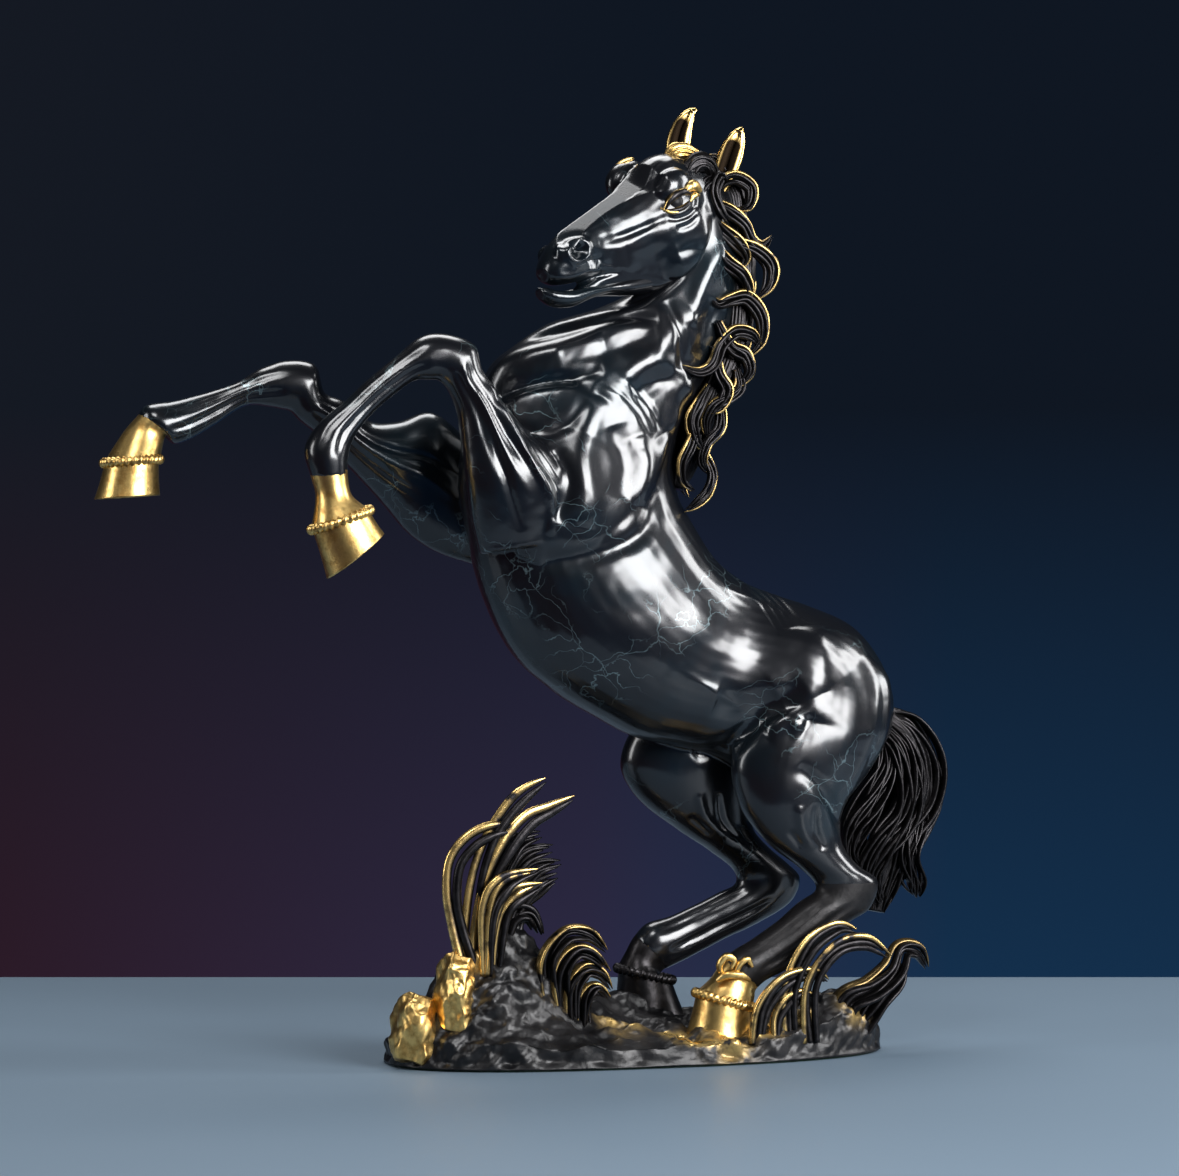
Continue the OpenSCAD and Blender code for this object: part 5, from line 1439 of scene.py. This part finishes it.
@dataclass
class Rock:
    """The hollow rock with its boulders, as heights over a rounded plan."""

    middle: float = 21.5
    length: float = 230.0
    width: float = 96.0
    rim: float = 1.0
    ground: float = 12.0
    plan_power: float = 2.5
    edge_power: float = 8.0
    around: int = 420
    hills: tuple[tuple[float, float, float, float], ...] = (
        (-70, -12, 26, 13), (-48, -10, 38, 20), (-28, 0, 28, 22), (6, 14, 13, 24), (34, 26, 9, 20),
        (92, 12, 6, 24), (118, -6, 8, 20), (108, -30, 13, 30))
    facets: tuple[tuple[float, float], ...] = ((0.031, 0.012), (-0.017, 0.034), (0.022, -0.027))
    facet_height: float = 1.5
    edge_folds: tuple[int, ...] = (17, 28)
    edge_chip: float = 1.1
    edge_fall: float = 0.3
    breaks: tuple[tuple[float, float], ...] = (
        (17, 1.5), (14, 1.4), (12, 1.2), (10, 1.1), (7, 0.6), (5.5, 0.5), (4.2, 0.35))
    ledge: tuple[tuple[float, float], ...] = (
        (18, 18), (32, 11), (48, 10), (62, 13), (78, 14), (88, 19), (96, 20))
    gold_spots: tuple[tuple[float, float, float], ...] = (
        (6, 20, 5), (13, 19, 4), (-66, 50, 7), (-58, 48, 5), (52, 12, 8), (115, 22, 5), (121, 19, 4))
    boulders: tuple[Rows, ...] = (
        [[-84, -16, 1.2, 10, 13], [-85, -16, 14, 10.5, 14], [-84, -16, 28, 9, 12], [-83, -16, 35, 3, 5]],
        [[-67, -20, 12, 7, 11], [-68, -20, 32, 8.5, 12], [-66, -19, 45, 8, 10], [-63, -18, 52, 3, 5]])

    def height(self, x: np.ndarray, y: np.ndarray) -> np.ndarray:
        """The rock's height over its rim: level ground, small waves, round hills and folded planes.

        Args:
            x: Places along the rock.
            y: Places across it.

        Returns:
            The heights.
        """
        rise = self.ground + 0.9 * (np.sin(np.radians(x * 17 + y * 9)) + np.sin(np.radians(y * 23 - x * 7)))
        for hx, hy, h, r in self.hills:
            rise = rise + h * np.exp(-((x - hx) ** 2 + (y - hy) ** 2) / r ** 2)
        folds = sum(self.crease(x * fx + y * fy) for fx, fy in self.facets)
        return rise + self.facet_height * (folds - len(self.facets) / 2)

    @staticmethod
    def crease(u: np.ndarray) -> np.ndarray:
        """A triangle wave from 0 to 1."""
        return np.abs(2 * (u - np.floor(u)) - 1)

    def plan(self, broken: float, share: np.ndarray) -> tuple[np.ndarray, np.ndarray]:
        """Points of the rounded plan.

        Args:
            broken: 1 where the edge is chipped, 0 where it is smooth.
            share: Shares of the way from the middle to the edge.

        Returns:
            The points' x and y.
        """
        a = np.linspace(0, 2 * np.pi, self.around, endpoint=False)
        inset = broken * self.edge_chip * sum(1 - self.crease(k * a / (2 * np.pi)) for k in self.edge_folds)
        c = np.sign(np.cos(a)) * np.abs(np.cos(a)) ** (2 / self.plan_power)
        s = np.sign(np.sin(a)) * np.abs(np.sin(a)) ** (2 / self.plan_power)
        return (self.middle + (self.length / 2 - inset) * share * c, (self.width / 2 - inset) * share * s)

    def chips(self, points: np.ndarray) -> np.ndarray:
        """How far the rock's surface is broken in or out: warped folded planes, with pebbles at the rear.

        Args:
            points: Points by 3.

        Returns:
            The heights over the smooth surface.
        """
        warp = points + 1.6 * np.stack([noise(points, 14.0, k) for k in (41, 42, 43)], 1)
        total = 0.35 * noise(points, 2.6, 9)
        for i, (length, height) in enumerate(self.breaks):
            turn = 2.4 * i + 0.5
            way = np.array([np.cos(turn), np.sin(turn), 0.9 * np.cos(1.7 * i + 0.4)])
            total += height * (self.crease(warp @ way / length) - 0.5)
        pebbly = np.clip((points[:, 0] - 60) / 14, 0, 1) * np.clip((points[:, 2] - 9) / 5, 0, 1)
        pebbles = np.clip(noise(points, 3.2, 21) + 0.15, 0, 1) * 1.9 - 0.4
        wrinkled = np.exp(-(((points[:, 0] + 56) / 13) ** 2 + ((points[:, 2] - 36) / 17) ** 2))
        folds = 1.1 * np.sin(noise(points, 5.0, 31) * 9 + points[:, 2] * 0.5)
        brushed = np.exp(-(((points[:, 0] - 5) / 32) ** 4))
        return total * (1 - 0.6 * pebbly) * (1 - 0.45 * brushed) + pebbles * pebbly + folds * wrinkled

    def build(self, finishes: Finishes) -> None:
        """Makes the rock and the gilded boulders."""
        share = np.concatenate([[1.0, 0.995, 0.985], np.linspace(0.975, 0.02, 100)])[:, None]
        x, y = self.plan(1.0, share)
        rise = self.height(x, y) * (1 - self.edge_fall * share ** self.edge_power)
        top = np.stack([x, y, self.rim + np.maximum(rise, 3)], -1)
        foot = np.stack([*self.plan(0.0, np.ones((1, 1))), np.full((1, self.around), self.rim)], -1)
        side = foot + (top[:1] - foot) * np.linspace(0, 1, 18)[1:-1, None, None]
        shell = Shell.tube(np.concatenate([foot, side, top]))
        hold = np.clip((shell.points[:, 2] - self.rim) / 3, 0, 1)
        moved = shell.points + shell.normals() * ((self.chips(shell.points) - 0.7) * hold)[:, None]
        moved[:, 2] = np.maximum(moved[:, 2], self.rim)
        moved[:, 1] = np.clip(moved[:, 1], 0.1 - self.width / 2, self.width / 2 - 0.1)
        rock = Shell(moved, shell.quads, shell.tris)
        rock.marks["gilt"] = self.gilding(moved)
        piece("rock_base", rock, finishes.rock, "rock", "base_rock")
        stones = []
        for rows in self.boulders:
            stone = strand(rows, 96, 30)
            points = self.split(stone.points)
            chip = self.chips(points) * 0.55 - 0.3
            points = points + stone.normals() * chip[:, None]
            points[:, 2] = np.maximum(points[:, 2], self.rim)
            stones.append(Shell(points, stone.quads, stone.tris))
        piece("gilded_boulders", Shell.joined(stones), finishes.gilt_rock, "gilt_rock", "gilded_rocks")

    @staticmethod
    def split(points: np.ndarray) -> np.ndarray:
        """A boulder cut flat by planes: each cuts off what lies past 0.80 to 0.90 of its reach.

        Args:
            points: The boulder's points.

        Returns:
            The points after the cuts.
        """
        points = points.copy()
        middle = points.mean(0)
        for k in range(13):
            z = 1 - 2 * (k + 0.5) / 13
            way = np.array([np.sqrt(1 - z * z) * np.cos(2.4 * k), np.sqrt(1 - z * z) * np.sin(2.4 * k), z])
            height = (points - middle) @ way
            points -= way * np.maximum(height - (0.80 + 0.05 * (k % 3)) * height.max(), 0)[:, None]
        return points

    def gilding(self, points: np.ndarray) -> np.ndarray:
        """Where the rock is gilded: a ledge line in front of the hooves and a few worn patches.

        Args:
            points: Points by 3.

        Returns:
            The mark, from 0 to 1.
        """
        ledge = np.array(self.ledge, float)
        line = np.interp(points[:, 0], ledge[:, 0], ledge[:, 1])
        inside = (points[:, 0] > ledge[0, 0]) & (points[:, 0] < ledge[-1, 0]) & (points[:, 1] < -20)
        gilt = np.exp(-((points[:, 2] - line) / 1.6) ** 2) * inside
        for x, z, r in self.gold_spots:
            gilt = np.maximum(gilt, np.exp(-((points[:, 0] - x) ** 2 + (points[:, 2] - z) ** 2) / r ** 2)
                              * (points[:, 1] < -12))
        return gilt


def restyle_nodes(frame: dict, finishes: Finishes) -> None:
    """Gives each CAD node its own procedural material.

    Args:
        finishes: The statue's materials.
    """
    steel = {"dowels", "pins", "hoof_studs", "stud_nuts", "stud_washers", "cover_screws"}
    named = {"cover_plate": finishes.cover, "felt_sheet": finishes.felt, "base_rock": finishes.rock}
    gilded = ("hoof", "ear", "gilded", "poll", "reeds", "rear_leaves")
    for name, obj in frame["nodes"].items():
        material = named.get(name, finishes.steel if name in steel else finishes.hair)
        if any(word in name for word in gilded) and "studs" not in name:
            material = finishes.gilt
        obj.data.materials.clear()
        obj.data.materials.append(material)


# ---------- Studio ----------
TABLE_TOP = rgb(0.135, 0.19, 0.25)
PLUM, VIOLET, BLUE = rgb(0.026, 0.011, 0.021), rgb(0.027, 0.025, 0.062), rgb(0.007, 0.030, 0.075)
NAVY_LEFT, NAVY_RIGHT = rgb(0.0075, 0.0100, 0.0165), rgb(0.0050, 0.0085, 0.0160)


@dataclass(frozen=True)
class Lamp:
    """A soft rectangular lamp: its direction from the statue in degrees, its sizes and power."""

    name: str
    azimuth: float
    elevation: float
    width: float
    height: float
    power: float


@dataclass
class Studio:
    """A pale table top, a dark backdrop, soft lights and the photograph's camera."""

    lamps: tuple[Lamp, ...] = (
        Lamp("key", 27.0, 15.0, 0.85, 0.65, 30.0), Lamp("back_stripe", 78.0, 22.0, 0.3, 0.9, 11.0),
        Lamp("shoulder", -30.0, 46.0, 0.4, 0.35, 5.0), Lamp("crest", 172.0, 67.0, 1.0, 0.6, 12.0),
        Lamp("chest", -84.0, 16.0, 0.25, 0.9, 5.0))
    lamp_distance: float = 1.4
    lamp_aim: tuple[float, float, float] = (-0.02, 0.0, 0.22)
    camera_at: tuple[float, float, float] = (-0.4443, -1.5496, 0.211)
    azimuth: float = -16.0
    lens: float = 109.38
    table: tuple[float, float] = (2.6, 0.66)

    def build(self) -> None:
        """Makes the stage, the lamps and the camera."""
        self.floor()
        self.world()
        self.camera()
        for lamp in self.lamps:
            self.light(lamp)

    def floor(self) -> None:
        """The table top, a plain sheet turned square to the camera."""
        a = np.radians(self.azimuth)
        right, away = np.array([np.cos(a), np.sin(a)]), np.array([-np.sin(a), np.cos(a)])
        half = np.array(self.table) / 2
        corners = [right * half[0] * i + away * half[1] * j for i, j in ((-1, -1), (1, -1), (1, 1), (-1, 1))]
        mesh = bpy.data.meshes.new("table")
        mesh.from_pydata([(*c, 0.0) for c in corners], [], [(0, 1, 2, 3)])
        obj = bpy.data.objects.new("table", mesh)
        bpy.context.scene.collection.objects.link(obj)
        material = bpy.data.materials.new("table")
        material.use_nodes = True
        shader = material.node_tree.nodes["Principled BSDF"]
        shader.inputs["Base Color"].default_value = TABLE_TOP
        shader.inputs["Roughness"].default_value = 0.55
        mesh.materials.append(material)

    def world(self) -> None:
        """A dark room: navy above, turning plum at the lower left and blue at the lower right."""
        world = bpy.data.worlds.new("room")
        world.use_nodes = True
        make = Nodes(world.node_tree)
        way = make.add("ShaderNodeTexCoord").outputs["Generated"]
        a = np.radians(self.azimuth)
        across = make.add("ShaderNodeVectorMath", operation="DOT_PRODUCT", i0=way,
                          i1=(float(np.cos(a)), float(np.sin(a)), 0.0)).outputs["Value"]
        height = make.add("ShaderNodeSeparateXYZ", i0=way).outputs[2]
        left = make.span(across, -0.16, 0.02)
        right = make.span(across, 0.0, 0.10)
        plum_to_violet = make.mix(left, PLUM, VIOLET)
        low = make.mix(right, plum_to_violet, BLUE)
        high = make.mix(left, NAVY_LEFT, NAVY_RIGHT)
        shade = make.mix(make.span(height, -0.12, 0.05), low, high)
        make.feed(world.node_tree.nodes["Background"].inputs[0], shade)
        bpy.context.scene.world = world

    def light(self, lamp: Lamp) -> None:
        """Makes a lamp, turned towards the statue."""
        light = bpy.data.lights.new(lamp.name, "AREA")
        light.shape = "RECTANGLE"
        light.size, light.size_y, light.energy = lamp.width, lamp.height, lamp.power
        a, e = np.radians(lamp.azimuth), np.radians(lamp.elevation)
        way = np.array([np.cos(e) * np.sin(a), -np.cos(e) * np.cos(a), np.sin(e)])
        at = np.array(self.lamp_aim) + way * self.lamp_distance
        aim(bpy.data.objects.new(lamp.name, light), tuple(at), self.lamp_aim)

    def camera(self) -> None:
        """The camera at the photograph's place, level, with its angle of view."""
        camera = bpy.data.cameras.new("camera")
        camera.lens = self.lens
        camera.sensor_width = 36.0
        obj = bpy.data.objects.new("camera", camera)
        a = np.radians(self.azimuth)
        x, y, z = self.camera_at
        aim(obj, self.camera_at, (x - np.sin(a), y + np.cos(a), z))
        bpy.context.scene.camera = obj


def aim(obj: bpy.types.Object, at: tuple[float, float, float], to: tuple[float, float, float]) -> None:
    """Puts a lamp or camera in place, looking at a point, and links it.

    Args:
        obj: The lamp or camera.
        at: Its place.
        to: The point that it looks at.
    """
    obj.location = at
    obj.rotation_euler = (Vector(to) - Vector(at)).to_track_quat("-Z", "Y").to_euler()
    bpy.context.scene.collection.objects.link(obj)


def main() -> None:
    """Builds the statue in its studio."""
    logging.basicConfig(level=logging.INFO, format="%(name)s %(message)s")
    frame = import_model()
    bpy.context.scene.view_settings.view_transform = "Standard"
    finishes = Finishes()
    restyle_nodes(frame, finishes)
    hooves = [Hoof(f"{name}_hoof_wall", rows, f"{name}_hoof", name != "right_hind", curls) for name, rows, curls in (
        ("left_fore", LEFT_FORE, ()), ("right_fore", RIGHT_FORE, ()), ("left_hind", LEFT_HIND, PASTERN_CURLS),
        ("right_hind", RIGHT_HIND, ()))]
    pins = frame["nodes"]["pins"]
    pin_points = np.array([tuple(pins.matrix_world @ v.co) for v in pins.data.vertices]) / MM
    for part in (Body(pin_points), Head(), Hair(), *hooves, Plants(), Rock()):
        part.build(finishes)
    Studio().build()


if __name__ == "__main__":
    main()
